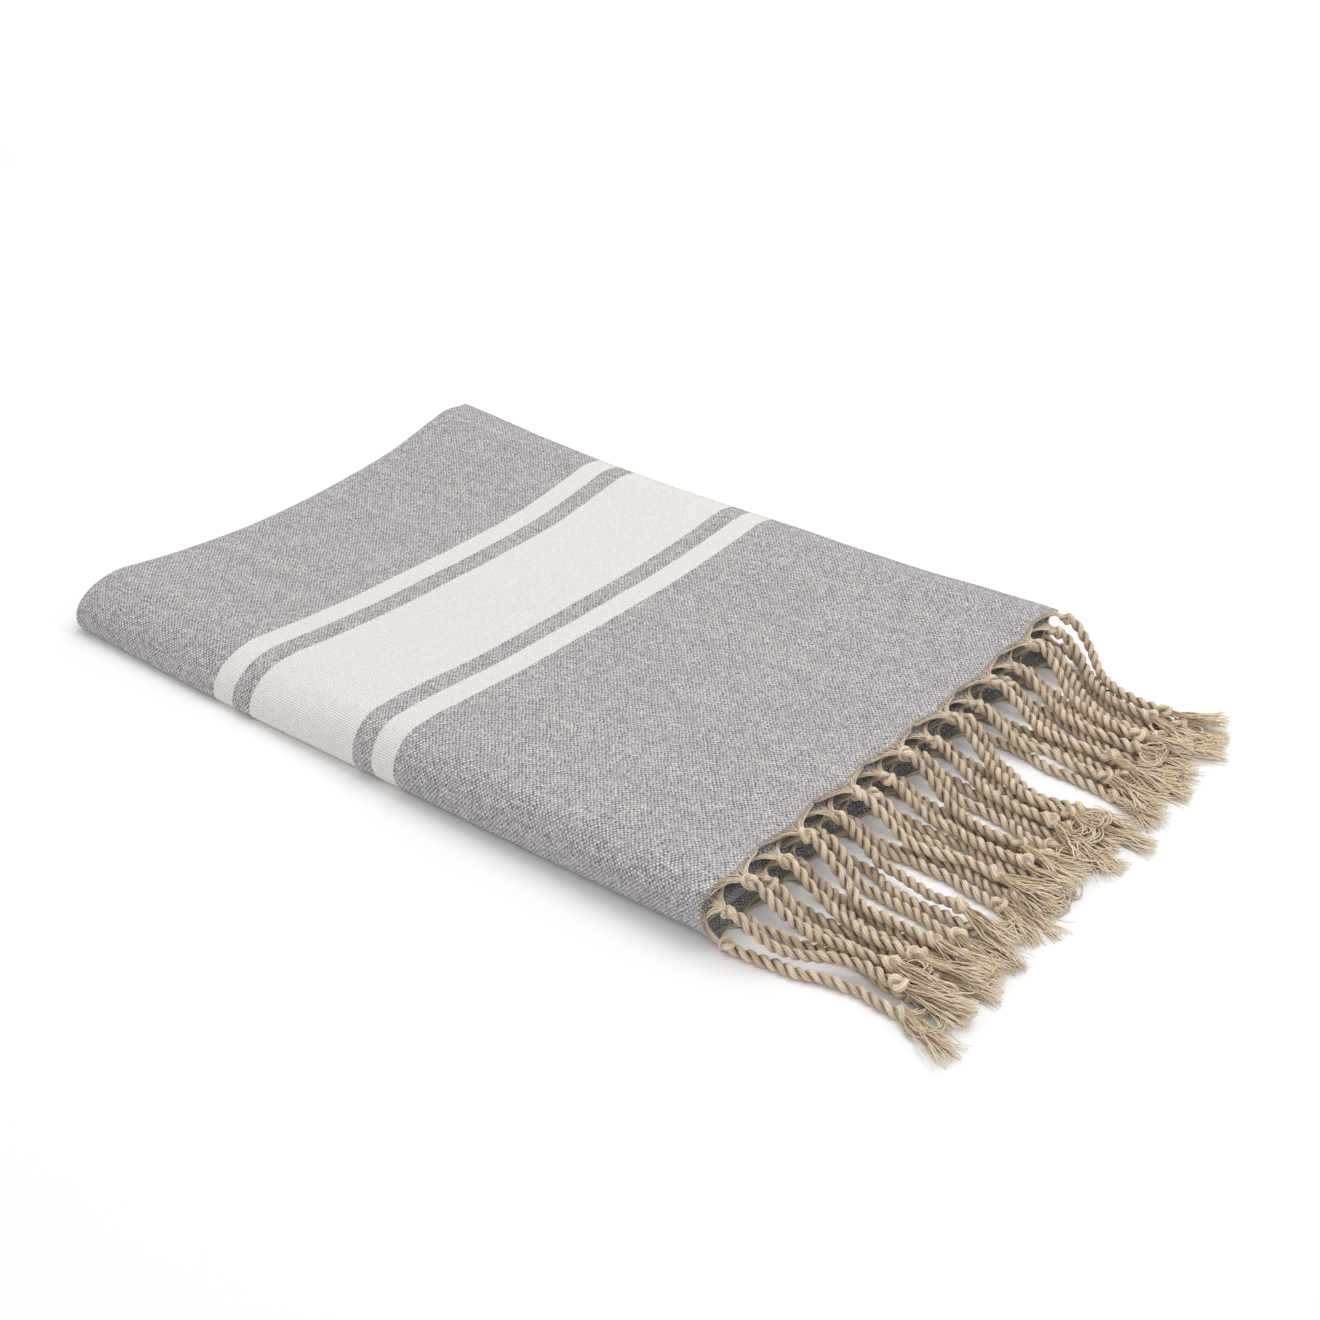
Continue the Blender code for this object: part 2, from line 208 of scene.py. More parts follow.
def placed(x, y, z):
    out = np.interp(y, LEFT_FOLD_ACROSS, LEFT_FOLD_OUT)
    return np.stack([x - out * ease(-x, 0.12, LEFT_END), y, z], axis=1)


# %% [markdown]
# The panels and the folds between them are one curve in cross-section. The lower and middle panels are
# level, the rear fold is half an ellipse, and the front roll is a quarter ellipse below its tip and a
# wider one above it, which is what gives the towel its fat rounded front.

# %% Across the panels
def across(panel, f, x, s):
    tip = roll(x, TIP)
    inset = (1 - s) * pack_depth(x, tip)
    below = roll(x, REACH_BELOW) * (s + (1 - s) * INNER_REACH)
    above = roll(x, REACH_ABOVE)
    lower_start = tip + inset + below
    upper_start = tip + above
    if panel == "middle":
        y = MIDDLE_EDGE + f * (BACK_CENTRE - MIDDLE_EDGE) + 0 * x
        return placed(x, y, SHEET / 2 + pack_depth(x, y) * (1 + s) + PANEL_GAP)
    if panel == "back fold":
        depth = pack_depth(x, BACK_CENTRE + 0 * x)
        angle = math.pi * (0.5 - f)
        half = PANEL_GAP / 2 + s * depth
        reach = PANEL_GAP / 2 + s * depth * BACK_ROUNDNESS
        middle = SHEET / 2 + depth + PANEL_GAP / 2
        return placed(x, BACK_CENTRE + reach * np.cos(angle), middle + half * np.sin(angle))
    if panel == "lower":
        y = BACK_CENTRE + f * (lower_start - BACK_CENTRE)
        return placed(x, y, SHEET / 2 + (1 - s) * pack_depth(x, y))
    if panel == "front fold":
        depth = pack_depth(x, tip)
        angle = math.pi * (f - 0.5)
        low = SHEET / 2 + (1 - s) * depth
        high = SHEET / 2 + 2 * depth + 2 * PANEL_GAP + s * depth
        middle = low + roll(x, TIP_HEIGHT) * (high - low)
        under = angle < 0
        y = np.where(under, lower_start - below * np.cos(angle), upper_start - (above - inset) * np.cos(angle))
        rise = np.where(under, middle - low, high - middle)
        return placed(x, y, middle + rise * np.sin(angle))
    upper_edge = UPPER_EDGE + UPPER_EDGE_OUT * ease(-x, 0.08, LEFT_END)
    y = upper_start + f * (upper_edge - upper_start)
    depth = pack_depth(x, y)
    droop = UPPER_EDGE_DROOP * ease(y, DROOP_FROM, DROOP_TO)
    return placed(x, y, SHEET / 2 + 2 * depth + 2 * PANEL_GAP + s * depth - droop)


PANELS = (
    # name, segments
    ("middle", 24),
    ("back fold", 14),
    ("lower", 24),
    ("front fold", 22),
    ("upper", 64),
)


def across_stations(finer=1):
    stations = [(name, i / (n * finer)) for name, n in PANELS for i in range(n * finer)]
    return stations + [(PANELS[-1][0], 1.0)]


def folded(x, s, stations):
    """Where each (x, share) lies at each station across the towel: an array of points."""
    x, s = np.asarray(x, float), np.asarray(s, float)
    made = np.zeros((len(x), len(stations), 3))
    for j, (panel, f) in enumerate(stations):
        made[:, j] = across(panel, np.full(len(x), f), x, s)
    return made


print("stations across:", len(across_stations()))

# %% [markdown]
# Along its length the cloth runs to the left fold, back to the right fold, to the left again and out to
# its second end. At each fold it goes from one share of the pack to another in half a turn.

# %% Along the towel
FINE_FROM = 0.230  # the stations lie closer together from here to a fringed end


def straight(start, end, layer, segments):
    places = np.linspace(start, end, segments + 1)
    return [(x, share(x, layer)) for x in places]


def half_turn(fold, side, first, last, segments=9):
    centre, reach = fold
    angles = math.pi * np.arange(1, segments) / segments
    return [
        (centre + side * reach * math.sin(a), first + (last - first) * (1 - math.cos(a)) / 2)
        for a in angles
    ]


def along_stations():
    left, inner, right = LEFT_OUTER[0], LEFT_INNER[0], RIGHT_FOLD[0]
    stations = straight(RIGHT, FINE_FROM, FIRST_END, 7)
    stations += straight(FINE_FROM, left, FIRST_END, 92)[1:]
    stations += half_turn(LEFT_OUTER, -1, share(left, FIRST_END), share(left, SECOND_QUARTER))
    stations += straight(left, right, SECOND_QUARTER, 36)
    stations += half_turn(RIGHT_FOLD, 1, share(right, SECOND_QUARTER), share(right, THIRD_QUARTER))
    stations += straight(right, inner, THIRD_QUARTER, 36)
    stations += half_turn(LEFT_INNER, -1, share(inner, THIRD_QUARTER), share(inner, SECOND_END))
    stations += straight(inner, FINE_FROM, SECOND_END, 42)
    stations += straight(FINE_FROM, SECOND_END_EDGE, SECOND_END, 6)[1:]
    return stations


def lengths_along(points):
    steps = np.linalg.norm(np.diff(points, axis=0), axis=1)
    return np.concatenate([[0.0], np.cumsum(steps)])


def point_at(place, places, points):
    """The points of a line at the given places along it."""
    return np.stack([np.interp(place, places, points[:, axis]) for axis in range(3)], axis=-1)


print("stations along:", len(along_stations()))

# %% [markdown]
# ## Where the knots are
#
# The warp is gathered into a knot about every 48 mm along each end. The edge of an end follows the
# folds, so a table of its points, from one selvedge to the other, tells where each knot lies. The cords
# of the upper layer fall on top of the others.

# %% Where the knots are
ROOT_PITCH = 0.0455  # as a part of the edge's length
FIRST_ROOT = {FIRST_END: 0.0028, SECOND_END: 0.0285}
LAST_ROOT = 0.992
CORNER_ROOT = 0.995
TOP_ROOT_HEIGHT = 0.024  # cords whose roots are higher than this lie on top of the others
LEAN = 0.2
EDGES = {FIRST_END: RIGHT, SECOND_END: SECOND_END_EDGE}
HANG = {FIRST_END: 0.0006, SECOND_END: 0.0044}  # how far an end hangs down past the folds under it
HANG_FROM, HANG_TO = 0.2350, 0.2465
ROUTE_SEED, TWIST_SEED, KNOT_SEED, TUFT_SEED, WEFT_SEED, WARP_SEED = 100, 200, 300, 400, 500, 600


def edge_table(layer):
    x = EDGES[layer]
    points = folded([x], [share(RIGHT, layer)], across_stations(4))[0]
    lengths = lengths_along(points)
    return points, lengths / lengths[-1], lengths[-1]


def edge_point(layer, place):
    points, places, _ = edge_tables[layer]
    return point_at(place, places, points)


def hung(layer, x, z):
    """The height of a point of an end, once the weight of its cords has drawn it down."""
    return np.maximum(z - HANG[layer] * ease(x, HANG_FROM, HANG_TO), np.minimum(z, SHEET / 2))


edge_tables = {layer: edge_table(layer) for layer in EDGES}


def roots_of(layer):
    places = list(np.arange(FIRST_ROOT[layer], LAST_ROOT, ROOT_PITCH))
    return places + ([CORNER_ROOT] if layer == FIRST_END else [])


strands = []
for layer in EDGES:
    for place in roots_of(layer):
        root = edge_point(layer, place)
        top = root[2] > TOP_ROOT_HEIGHT
        root[2] = hung(layer, HANG_TO, root[2])
        strands.append({
            "layer": layer,
            "place": place,
            "root": root,
            "key": root[1] + LEAN * root[2],
            "top": top,
        })
print("strands:", len(strands), "of which on top:", sum(s["top"] for s in strands))

# %% [markdown]
# ## The cloth
#
# The sheet starts as a flat grid, one column for each station along it and one row for each station
# across, and each of its points is then moved to its folded place. Its UV map is in metres of cloth, so
# that the weave and the stripes follow the folds. At the ends, each knot has drawn the last few threads
# towards it, so the edge is scalloped, and it hangs a little.

# %% The cloth's points
SCALLOP = 0.0042  # how far out of line a knot draws the edge
SCALLOP_REST = 0.35  # the part of it by which the edge draws back half way between knots
SCALLOP_REACH = 0.016  # how far into the cloth the pull is felt
ROLL_SKEW = 0.0036  # the cloth was rolled over a little askew, and the stripes show it
SKEW_FROM, SKEW_TO = 0.04, 0.16

along = along_stations()
over = across_stations()
points = folded([x for x, _ in along], [s for _, s in along], over)
cloth_u = lengths_along(points[:, len(over) - 20])  # along a row of the upper panel, which shows
cloth_v = np.stack([lengths_along(row) for row in points])
TOWEL_LENGTH = float(cloth_u[-1])
rolled = np.array([{"upper": 0.0, "front fold": 1 - f}.get(panel, 1.0) for panel, f in over])
askew = ROLL_SKEW * ease(cloth_u, SKEW_FROM, SKEW_TO) * ease(TOWEL_LENGTH - cloth_u, SKEW_FROM, SKEW_TO)


def knot_pull(layer, place):
    """How strongly the nearest knot draws the edge, from 0 half way between knots to 1."""
    nearest = np.min(np.abs(np.asarray(place)[..., None] - np.array(roots_of(layer))), axis=-1)
    return np.clip(1 - nearest / (ROOT_PITCH / 2), 0, 1) ** 1.6


def scalloped(layer, place):
    return SCALLOP * (knot_pull(layer, place) - SCALLOP_REST)


def scallop(points, layer, from_end):
    near = np.clip(1 - from_end / SCALLOP_REACH, 0, 1)[:, None] ** 2
    points[:, :, 0] += near * scalloped(layer, cloth_v / cloth_v[:, -1:])
    lowered = hung(layer, points[:, :, 0], points[:, :, 2])
    points[:, :, 2] = np.where(near > 0, lowered, points[:, :, 2])


scallop(points, FIRST_END, cloth_u)
scallop(points, SECOND_END, TOWEL_LENGTH - cloth_u)
print("cloth:", points.shape[0] * points.shape[1], "points,", round(TOWEL_LENGTH, 3), "m long")

# %% [markdown]
# The grid itself is one bmesh operator. Its vertices are then moved to their folded places, each loop is
# given its place on the flat cloth as a UV, and a Solidify modifier gives the sheet its thickness.

# %% The cloth
VISUAL_SHEET = 0.00085


def new_piece(name, body):
    """An object with the shape that a bmesh holds, smooth all over."""
    for face in body.faces:
        face.smooth = True
    mesh = bpy.data.meshes.new(name)
    body.to_mesh(mesh)
    body.free()
    piece = bpy.data.objects.new(name, mesh)
    bpy.context.scene.collection.objects.link(piece)
    return piece


flat = bmesh.new()
bmesh.ops.create_grid(flat, x_segments=len(along) - 1, y_segments=len(over) - 1, size=0.5)
columns = [round((v.co.x + 0.5) * (len(along) - 1)) for v in flat.verts]
rows = [round((v.co.y + 0.5) * (len(over) - 1)) for v in flat.verts]
for vert, i, j in zip(flat.verts, columns, rows):
    vert.co = points[i, j]
weave_map = flat.loops.layers.uv.new("weave")
for face in flat.faces:
    for loop in face.loops:
        i, j = columns[loop.vert.index], rows[loop.vert.index]
        loop[weave_map].uv = (cloth_u[i] + askew[i] * rolled[j], cloth_v[i, j])
bmesh.ops.recalc_face_normals(flat, faces=flat.faces)
cloth = new_piece("woven_cloth", flat)
thickness = cloth.modifiers.new("thickness", "SOLIDIFY")
thickness.thickness = VISUAL_SHEET
thickness.offset = 0.0
print("cloth:", len(cloth.data.polygons), "faces before its thickness")

# %% [markdown]
# ## Threads, cords and knots as swept curves
#
# Everything in the fringe is a round thing that follows a line, which is what a bevelled curve makes.
# A whole family of lines can be one curve object with many splines, and it is turned into a mesh at the
# end. The caps of a bevelled curve aren't joined to its sides, so `remove_doubles` welds them. Each line
# also has a tone from 0 to 1, which the material reads so that no two threads look quite alike. A second
# attribute, `outside`, is 0 deep between two lines and 1 on the outside, and a `KDTree` of the middles
# tells how deep a point lies. The material uses it for painted shade: a groove between two yarns is
# painted darker than the yarns.

# %% Swept lines
TONES = 6  # the tones are rounded to so many steps, and the lines of a step are swept together


def swept_mesh(lines, half_sides):
    curve = bpy.data.curves.new("lines", "CURVE")
    curve.dimensions = "3D"
    curve.bevel_depth = 1.0
    curve.bevel_resolution = half_sides
    curve.use_fill_caps = True
    for points, radii in lines:
        spline = curve.splines.new("POLY")
        spline.points.add(len(points) - 1)
        spline.points.foreach_set("co", np.column_stack([points, np.ones(len(points))]).ravel())
        spline.points.foreach_set("radius", np.broadcast_to(radii, len(points)).astype(np.float32))
    holder = bpy.data.objects.new("lines", curve)
    bpy.context.scene.collection.objects.link(holder)
    bpy.context.view_layer.update()
    graph = bpy.context.evaluated_depsgraph_get()
    mesh = bpy.data.meshes.new_from_object(holder.evaluated_get(graph))
    bpy.data.objects.remove(holder)
    return mesh


def outside_of(verts, middles, inner, outer):
    """How far out each vertex lies from the nearest middle: 0 at the inner distance, 1 at the outer."""
    tree = KDTree(len(middles))
    for i, middle in enumerate(middles):
        tree.insert(middle, i)
    tree.balance()
    return [min(max((tree.find(vert.co)[2] - inner) / (outer - inner), 0.0), 1.0) for vert in verts]


def swept_piece(name, lines, half_sides, middles=None, depths=None):
    """One object from (points, radii, tone) lines."""
    body = bmesh.new()
    tone_layer = body.verts.layers.float.new("tone")
    for step in range(TONES):
        group = [(p, r) for p, r, tone in lines if min(int(tone * TONES), TONES - 1) == step]
        if not group:
            continue
        before = len(body.verts)
        body.from_mesh(swept_mesh(group, half_sides))
        body.verts.ensure_lookup_table()
        for vert in body.verts[before:]:
            vert[tone_layer] = (step + 0.5) / TONES
    bmesh.ops.remove_doubles(body, verts=body.verts, dist=1e-6)
    outside_layer = body.verts.layers.float.new("outside")
    outside = [1.0] * len(body.verts) if middles is None else outside_of(body.verts, middles, *depths)
    for vert, value in zip(body.verts, outside):
        vert[outside_layer] = value
    piece = new_piece(name, body)
    piece.data.calc_loop_triangles()
    print(name + ":", len(lines), "lines,", len(piece.data.loop_triangles), "triangles")
    return piece


# %% [markdown]
# ## The routes of the cords
#
# Each cord leaves its knot at the edge, droops to the floor in a soft bend and then lies in a lane beside
# its neighbours. The lanes are where the cords came to rest: a few rows give the landing place for a
# root, and cords that would lie closer than their thickness are pushed apart. The cords of the upper
# layer lie on the others.

# %% The routes of the cords
STRIP_EDGE = RIGHT + 0.0044
CORD_LENGTH = 0.096  # from there to the end knot
LANE_RUN = 0.072  # how far from there the cords reach their lanes
LANE_PITCH = 0.0071
TUFT_PITCH = 0.0098
CORD_RADIUS = 0.0031
LIE_ON_TOP = 1.9  # how many radii higher a cord lies on the others
KNOT_X = STRIP_EDGE + 0.0030
KNOT_RUN = 0.008  # from the strip to where the cord starts to fall to the floor
FALL_RUN = 0.012  # the length of the fall of a cord whose root is on the floor
FALL_SLOPE = 0.85  # how much longer the fall is for a higher root
FALL_SHORTENS = 0.45  # how much of its root's height a cord loses in reach
UNEVEN_ENDS = 0.004  # how far the end knots are out of line
ROOT_DROOP = 0.0015
ROUTE_STEP = 0.0012  # between two points of a route
WAVE, KINK, HUMP = 0.0012, 0.0003, 0.0012  # how far a cord wanders, crooks and arches
LANE_TABLE = (
    # root, cord, in millimetres across the stack
    (-172.0, -162.0), (-166.5, -150.0), (-147.0, -141.0), (-115.0, -127.0), (-101.0, -115.0),
    (-85.0, -96.0), (-73.0, -86.0), (-58.0, -53.0), (-29.0, -34.0), (-5.0, -20.0),
    (11.0, 0.0), (27.0, 12.0), (45.0, 22.0), (60.0, 31.0), (67.0, 61.0),
    (90.0, 82.0), (120.0, 101.0), (141.0, 113.0), (179.0, 145.0),
)


def spread(places, pitch):
    places = list(places)
    for _ in range(400):
        for i in range(len(places) - 1):
            short = pitch - (places[i + 1] - places[i])
            if short > 0:
                places[i] -= short / 2
                places[i + 1] += short / 2
    return places


for level in (False, True):
    group = sorted((s for s in strands if s["top"] == level), key=lambda s: s["key"])
    wished = [np.interp(s["key"] * 1000, *zip(*LANE_TABLE)) / 1000 for s in group]
    lanes = spread(wished, LANE_PITCH)
    tufts = spread(lanes, TUFT_PITCH)
    for strand, lane, tuft in zip(group, lanes, tufts):
        strand["lane"], strand["tuft"] = lane, tuft


def route(strand, index):
    """The cord's middle line, from its root knot to its end knot."""
    chance = np.random.default_rng(ROUTE_SEED + index)
    root = strand["root"]
    fall = max(root[2] - CORD_RADIUS, 0.0)
    fall_start = STRIP_EDGE + KNOT_RUN
    land = fall_start + FALL_RUN + FALL_SLOPE * fall
    end = STRIP_EDGE + CORD_LENGTH - FALL_SHORTENS * fall + UNEVEN_ENDS * math.sin(2.4 * index)
    x = np.linspace(KNOT_X, end, 80)
    y = root[1] + (strand["lane"] - root[1]) * ease(x, fall_start, STRIP_EDGE + LANE_RUN)
    y = y + (strand["tuft"] - strand["lane"]) * ease(x, end - 0.035, end - 0.004)
    wave = np.sin(2 * math.pi * (x - KNOT_X) / chance.uniform(0.045, 0.07) + chance.uniform(0, 6))
    kinks = np.sin(2 * math.pi * (x - KNOT_X) / chance.uniform(0.017, 0.024) + chance.uniform(0, 6))
    free = ease(x, KNOT_X + 0.01, KNOT_X + 0.03) * (1 - ease(x, end - 0.02, end))
    y = y + (WAVE * wave + KINK * kinks) * free
    rest = CORD_RADIUS + (LIE_ON_TOP * CORD_RADIUS if strand["top"] else 0.0)
    start = max(root[2] - ROOT_DROOP, rest)
    hump = HUMP * np.sin(math.pi * np.clip((x - KNOT_X) / 0.014, 0, 1))
    z = start + (rest - start) * ease(x, fall_start - 0.003, land) + hump * (fall > 0.01)
    return np.stack([x, y, z], axis=1)


def even(points, step):
    """The same line with its points a step apart."""
    lengths = lengths_along(points)
    at = np.linspace(0, lengths[-1], max(int(lengths[-1] / step), 2) + 1)
    return point_at(at, lengths, points)


for index, strand in enumerate(strands):
    strand["route"] = even(route(strand, index), ROUTE_STEP)
cord_lengths = [round(lengths_along(s["route"])[-1] * 1000) for s in strands]
print("cords from", min(cord_lengths), "to", max(cord_lengths), "mm long")

# %% [markdown]
# ## The twisted cords
#
# A cord is two bunches of warp laid round each other. Each of them is a line that winds about the
# cord's middle line, half a turn from the other, on two directions that stay square to that line. Its
# radius swells and shrinks a little, as hand-twisted cotton does.

# %% The twisted cords
PLY_RADIUS = 0.00168
PLY_OFFSET = 0.00150  # from the cord's middle line to a ply's
TWIST = 0.0130  # length of one full turn
TWIST_HAND = -1  # 1 would twist the cords the other way
# Painted shade fills the groove between the plies and fades out between these two depths.
CORD_DEPTHS = (0.0010, 0.0029)  # from the groove between the plies to the top of a ply


def unit(vectors):
    return vectors / np.linalg.norm(vectors, axis=-1, keepdims=True)


def side_and_up(forward):
    """Two directions square to a heading and to each other. The first is level."""
    side = unit(np.cross(unit(forward), [0.0, 0.0, 1.0]))
    return side, np.cross(side, unit(forward))


def above_floor(points, height):
    points[:, 2] = np.maximum(points[:, 2], height)
    return points


def plies(line, chance):
    side, up = side_and_up(np.gradient(line, axis=0))
    lengths = lengths_along(line)
    loose = 1 + 0.12 * np.sin(lengths / 0.017 + chance.uniform(0, 6))
    turn = TWIST_HAND * 2 * math.pi * lengths / (TWIST * chance.uniform(0.92, 1.10)) + chance.uniform(0, 6)
    turn = turn + 0.55 * np.sin(lengths / 0.011 + chance.uniform(0, 6))
    lines = []
    for half in (0, math.pi):
        offset = side * np.cos(turn + half)[:, None] + up * np.sin(turn + half)[:, None]
        radius = PLY_RADIUS * (1 + 0.09 * np.sin(lengths / 0.0037 + chance.uniform(0, 6)))
        points = above_floor(line + offset * (PLY_OFFSET * loose)[:, None], radius)
        lines.append((points, radius, chance.uniform(0, 1)))
    return lines


def numbered_strands(layer):
    return [(index, strand) for index, strand in enumerate(strands) if strand["layer"] == layer]


FRINGES = {FIRST_END: "first", SECOND_END: "second"}
cords = {}
for layer, word in FRINGES.items():
    lines, middles = [], []
    for index, strand in numbered_strands(layer):
        lines += plies(strand["route"], np.random.default_rng(TWIST_SEED + index))
        middles += list(strand["route"])
    cords[layer] = swept_piece(f"twisted_cords_{word}_end", lines, 2, middles, CORD_DEPTHS)

# %% [markdown]
# ## The knots
#
# Both knots of a strand are overhand knots: the rope goes forward, comes back round itself and leaves
# through its own loop. Three short formulas draw that line: a cubic runs it forward, back and forward
# again, a quartic makes the two bends, and a sine takes it over and under at the three crossings. Drawn
# with a thick rope, and with the cord going on through its middle, it closes into one lump. No two knots
# are quite the same size or turned the same way.

# %% The knots
KNOT_ROPE = 0.00185
KNOT_RUNS, KNOT_BENDS, KNOT_RISES = 0.00125, 0.00102, 0.00165  # the sizes of the three formulas
CORE_RADIUS = 0.0027
CORE_HALF = 0.0034
CORE_SHAPE = ((-1.0, 0.4), (-0.6, 0.8), (0.0, 1.0), (0.6, 0.8), (1.0, 0.4))  # place, thickness
# Painted shade darkens a knot towards its middle and fades out between these two depths.
KNOT_DEPTHS = (0.0022, 0.0044)


def knot(centre, heading, size, chance):
    side, up = side_and_up(heading)
    turn = chance.uniform(0, 2 * math.pi)
    side, up = side * math.cos(turn) + up * math.sin(turn), up * math.cos(turn) - side * math.sin(turn)
    t = np.linspace(-2.0, 2.0, 34)
    run = size * KNOT_RUNS * (t**3 - 3 * t)
    bend = size * KNOT_BENDS * (t**4 - 4 * t**2 + 2)
    rise = size * KNOT_RISES * np.sin(3 * t)
    points = centre + unit(heading) * run[:, None] + side * bend[:, None] + up * rise[:, None]
    return above_floor(points, KNOT_ROPE * size), KNOT_ROPE * size, chance.uniform(0.35, 0.9)


def core(centre, heading, size):
    """The stretch of cord that goes through the knot."""
    places, shape = np.array(CORE_SHAPE).T
    points = centre + unit(heading) * (places * CORE_HALF * size)[:, None]
    return above_floor(points, CORE_RADIUS * size), CORE_RADIUS * size * shape, 0.6


knots = {}
for layer, word in FRINGES.items():
    lines, middles = [], []
    for index, strand in numbered_strands(layer):
        chance = np.random.default_rng(KNOT_SEED + index)
        line = strand["route"]
        strand["end"] = line[-1] + np.array([0.0, 0.0, 0.0008])
        strand["heading"] = line[-1] - line[-8]
        for centre, heading, sizes in (
            (line[2], line[6] - line[0], (0.92, 1.08)),
            (strand["end"], strand["heading"], (1.00, 1.18)),
        ):
            size = chance.uniform(*sizes)
            lines += [knot(centre, heading, size, chance), core(centre, heading, size)]
            middles.append(centre)
    knots[layer] = swept_piece(f"knots_{word}_end", lines, 2, middles, KNOT_DEPTHS)

# %% [markdown]
# ## The tufts
#
# Past the end knot the warp threads go their own way. They leave the knot in a tight bunch and part into
# a few locks, which fan out and lie down on the floor. The threads of a lock share its bend, and each
# has small waves of its own, the crimp that it was given by the weave. The whole tuft was cut off level.
# Now and then a tuft has curled up on itself. All of it is drawn from seeded generators, so every run
# gives the same tufts.

# %% The tufts
THREAD_RADIUS = 0.00044
THREADS_IN_TUFT = 38
LOCKS = 6
THREAD_POINTS = 15
CURLED_TUFT_EVERY = 8
CURLED_LOCK_SHARE = 0.06  # of the locks in the other tufts
SHORT_THREAD_SHARE = 0.06
BUNCH_HALF_WIDTH, BUNCH_HALF_HEIGHT = 0.0034, 0.0018  # where the threads leave the knot


def lock_of(chance, curled):
    """How far the threads of a lock turn aside, bend and curl, in radians, and where the lock starts."""
    return {
        "fan": np.clip(chance.normal(0, 0.17), -0.36, 0.36),
        "bend": chance.normal(0, 0.22),
        "curl": (
            chance.choice([-1, 1]) * chance.uniform(2.5, 4.5)
            if curled or chance.random() < CURLED_LOCK_SHARE else 0.0
        ),
        "spot": chance.normal(0, 0.5, 2),
        "lift": chance.uniform(0, 1),
    }


def tuft_thread(strand, lock, chance, length, low, high, fan_turn):
    heading = unit(strand["heading"])
    yaw = math.atan2(heading[1], heading[0]) + fan_turn
    t = np.linspace(0, 1, THREAD_POINTS)
    angles = yaw + (lock["fan"] + chance.normal(0, 0.07)) * ease(t, 0, 0.4)
    angles = angles + (lock["bend"] + chance.normal(0, 0.12)) * t
    angles = angles + lock["curl"] * chance.uniform(0.7, 1.15) * ease(t, 0.15, 0.9)
    crimp = np.sin(2 * math.pi * t * length / chance.uniform(0.006, 0.011) + chance.uniform(0, 6))
    angles = angles + chance.uniform(0.04, 0.22) * crimp * ease(t, 0, 0.2)
    steps = np.stack([np.cos(angles), np.sin(angles)], axis=1) * length / (THREAD_POINTS - 1)
    path = np.concatenate([[[0, 0]], np.cumsum(steps[:-1], axis=0)])
    spot = 0.6 * lock["spot"] + chance.normal(0, 0.35, 2)
    side = np.array([-math.sin(yaw), math.cos(yaw)])
    across_bunch = side * (spot[0] * BUNCH_HALF_WIDTH * (0.8 + 0.5 * ease(t, 0, 0.3)))[:, None]
    rest = low + (high - low) * np.clip(lock["lift"] + chance.normal(0, 0.25), 0, 1)
    z = rest + (strand["end"][2] - rest) * (1 - ease(t, 0, 0.5))
    z = z + spot[1] * BUNCH_HALF_HEIGHT * (1 - ease(t, 0.1, 0.6))
    z = z + 0.0008 * t * np.sin(2 * math.pi * t * 2.1 + chance.uniform(0, 6))
    start = strand["end"][:2] + heading[:2] * 0.0010
    points = np.column_stack([start + path + across_bunch, np.maximum(z, THREAD_RADIUS)])
    radii = THREAD_RADIUS * chance.uniform(0.85, 1.2) * (1 - 0.50 * ease(t, 0.7, 1.0))
    return points, radii, chance.uniform(0, 1)


def tuft_lines(strand, index):
    chance = np.random.default_rng(TUFT_SEED + index)
    low, high = (0.0040, 0.0100) if strand["top"] else (THREAD_RADIUS, 0.0055)
    fan_turn = np.clip(chance.normal(0, 0.24), -0.5, 0.5)
    longest = chance.uniform(0.029, 0.040)
    curled = index % CURLED_TUFT_EVERY == 3
    locks = [lock_of(chance, curled) for _ in range(LOCKS)]
    lines = []
    for i in range(THREADS_IN_TUFT):
        length = longest - abs(chance.normal(0, 0.0016)) - 0.010 * (chance.random() < SHORT_THREAD_SHARE)
        lines.append(tuft_thread(strand, locks[i % LOCKS], chance, length, low, high, fan_turn))
    return lines


tufts = {}
for layer, word in FRINGES.items():
    lines = [line for index, strand in numbered_strands(layer) for line in tuft_lines(strand, index)]
    tufts[layer] = swept_piece(f"tufts_{word}_end", lines, 0)

# %% [markdown]
# ## The gathered warp at the edge
#
# Between the cloth and its row of knots, the warp threads leave the last weft, turn and run along the
# edge to the nearest knot. So a bundle lies along the edge on both sides of a knot, and it gets thicker
# towards the knot as threads join it. The threads follow the folded edge, because their route is worked
# out along it and not through space.

# %% The gathered warp
WARP_STEP = 0.0014
BUNDLE_GROWTH = 0.00027  # the radius of a bundle of one thread
LAID_ON_CLOTH = 0.0019  # how far over the cloth's edge a thread starts
JOIN_RUN = 0.0022  # how far a thread runs along the edge before it's in the bundle
OFF_SHEET = 0.0007  # how far off the middle of the sheet it starts
KNOT_SPREAD = 0.0009  # how far from the middle of a knot the threads end
edge_lengths = {layer: table[2] for layer, table in edge_tables.items()}


def edge_normal(layer, place, step=0.002):
    way = edge_point(layer, place + step) - edge_point(layer, place - step)
    return unit(np.cross(way, [1.0, 0.0, 0.0]))


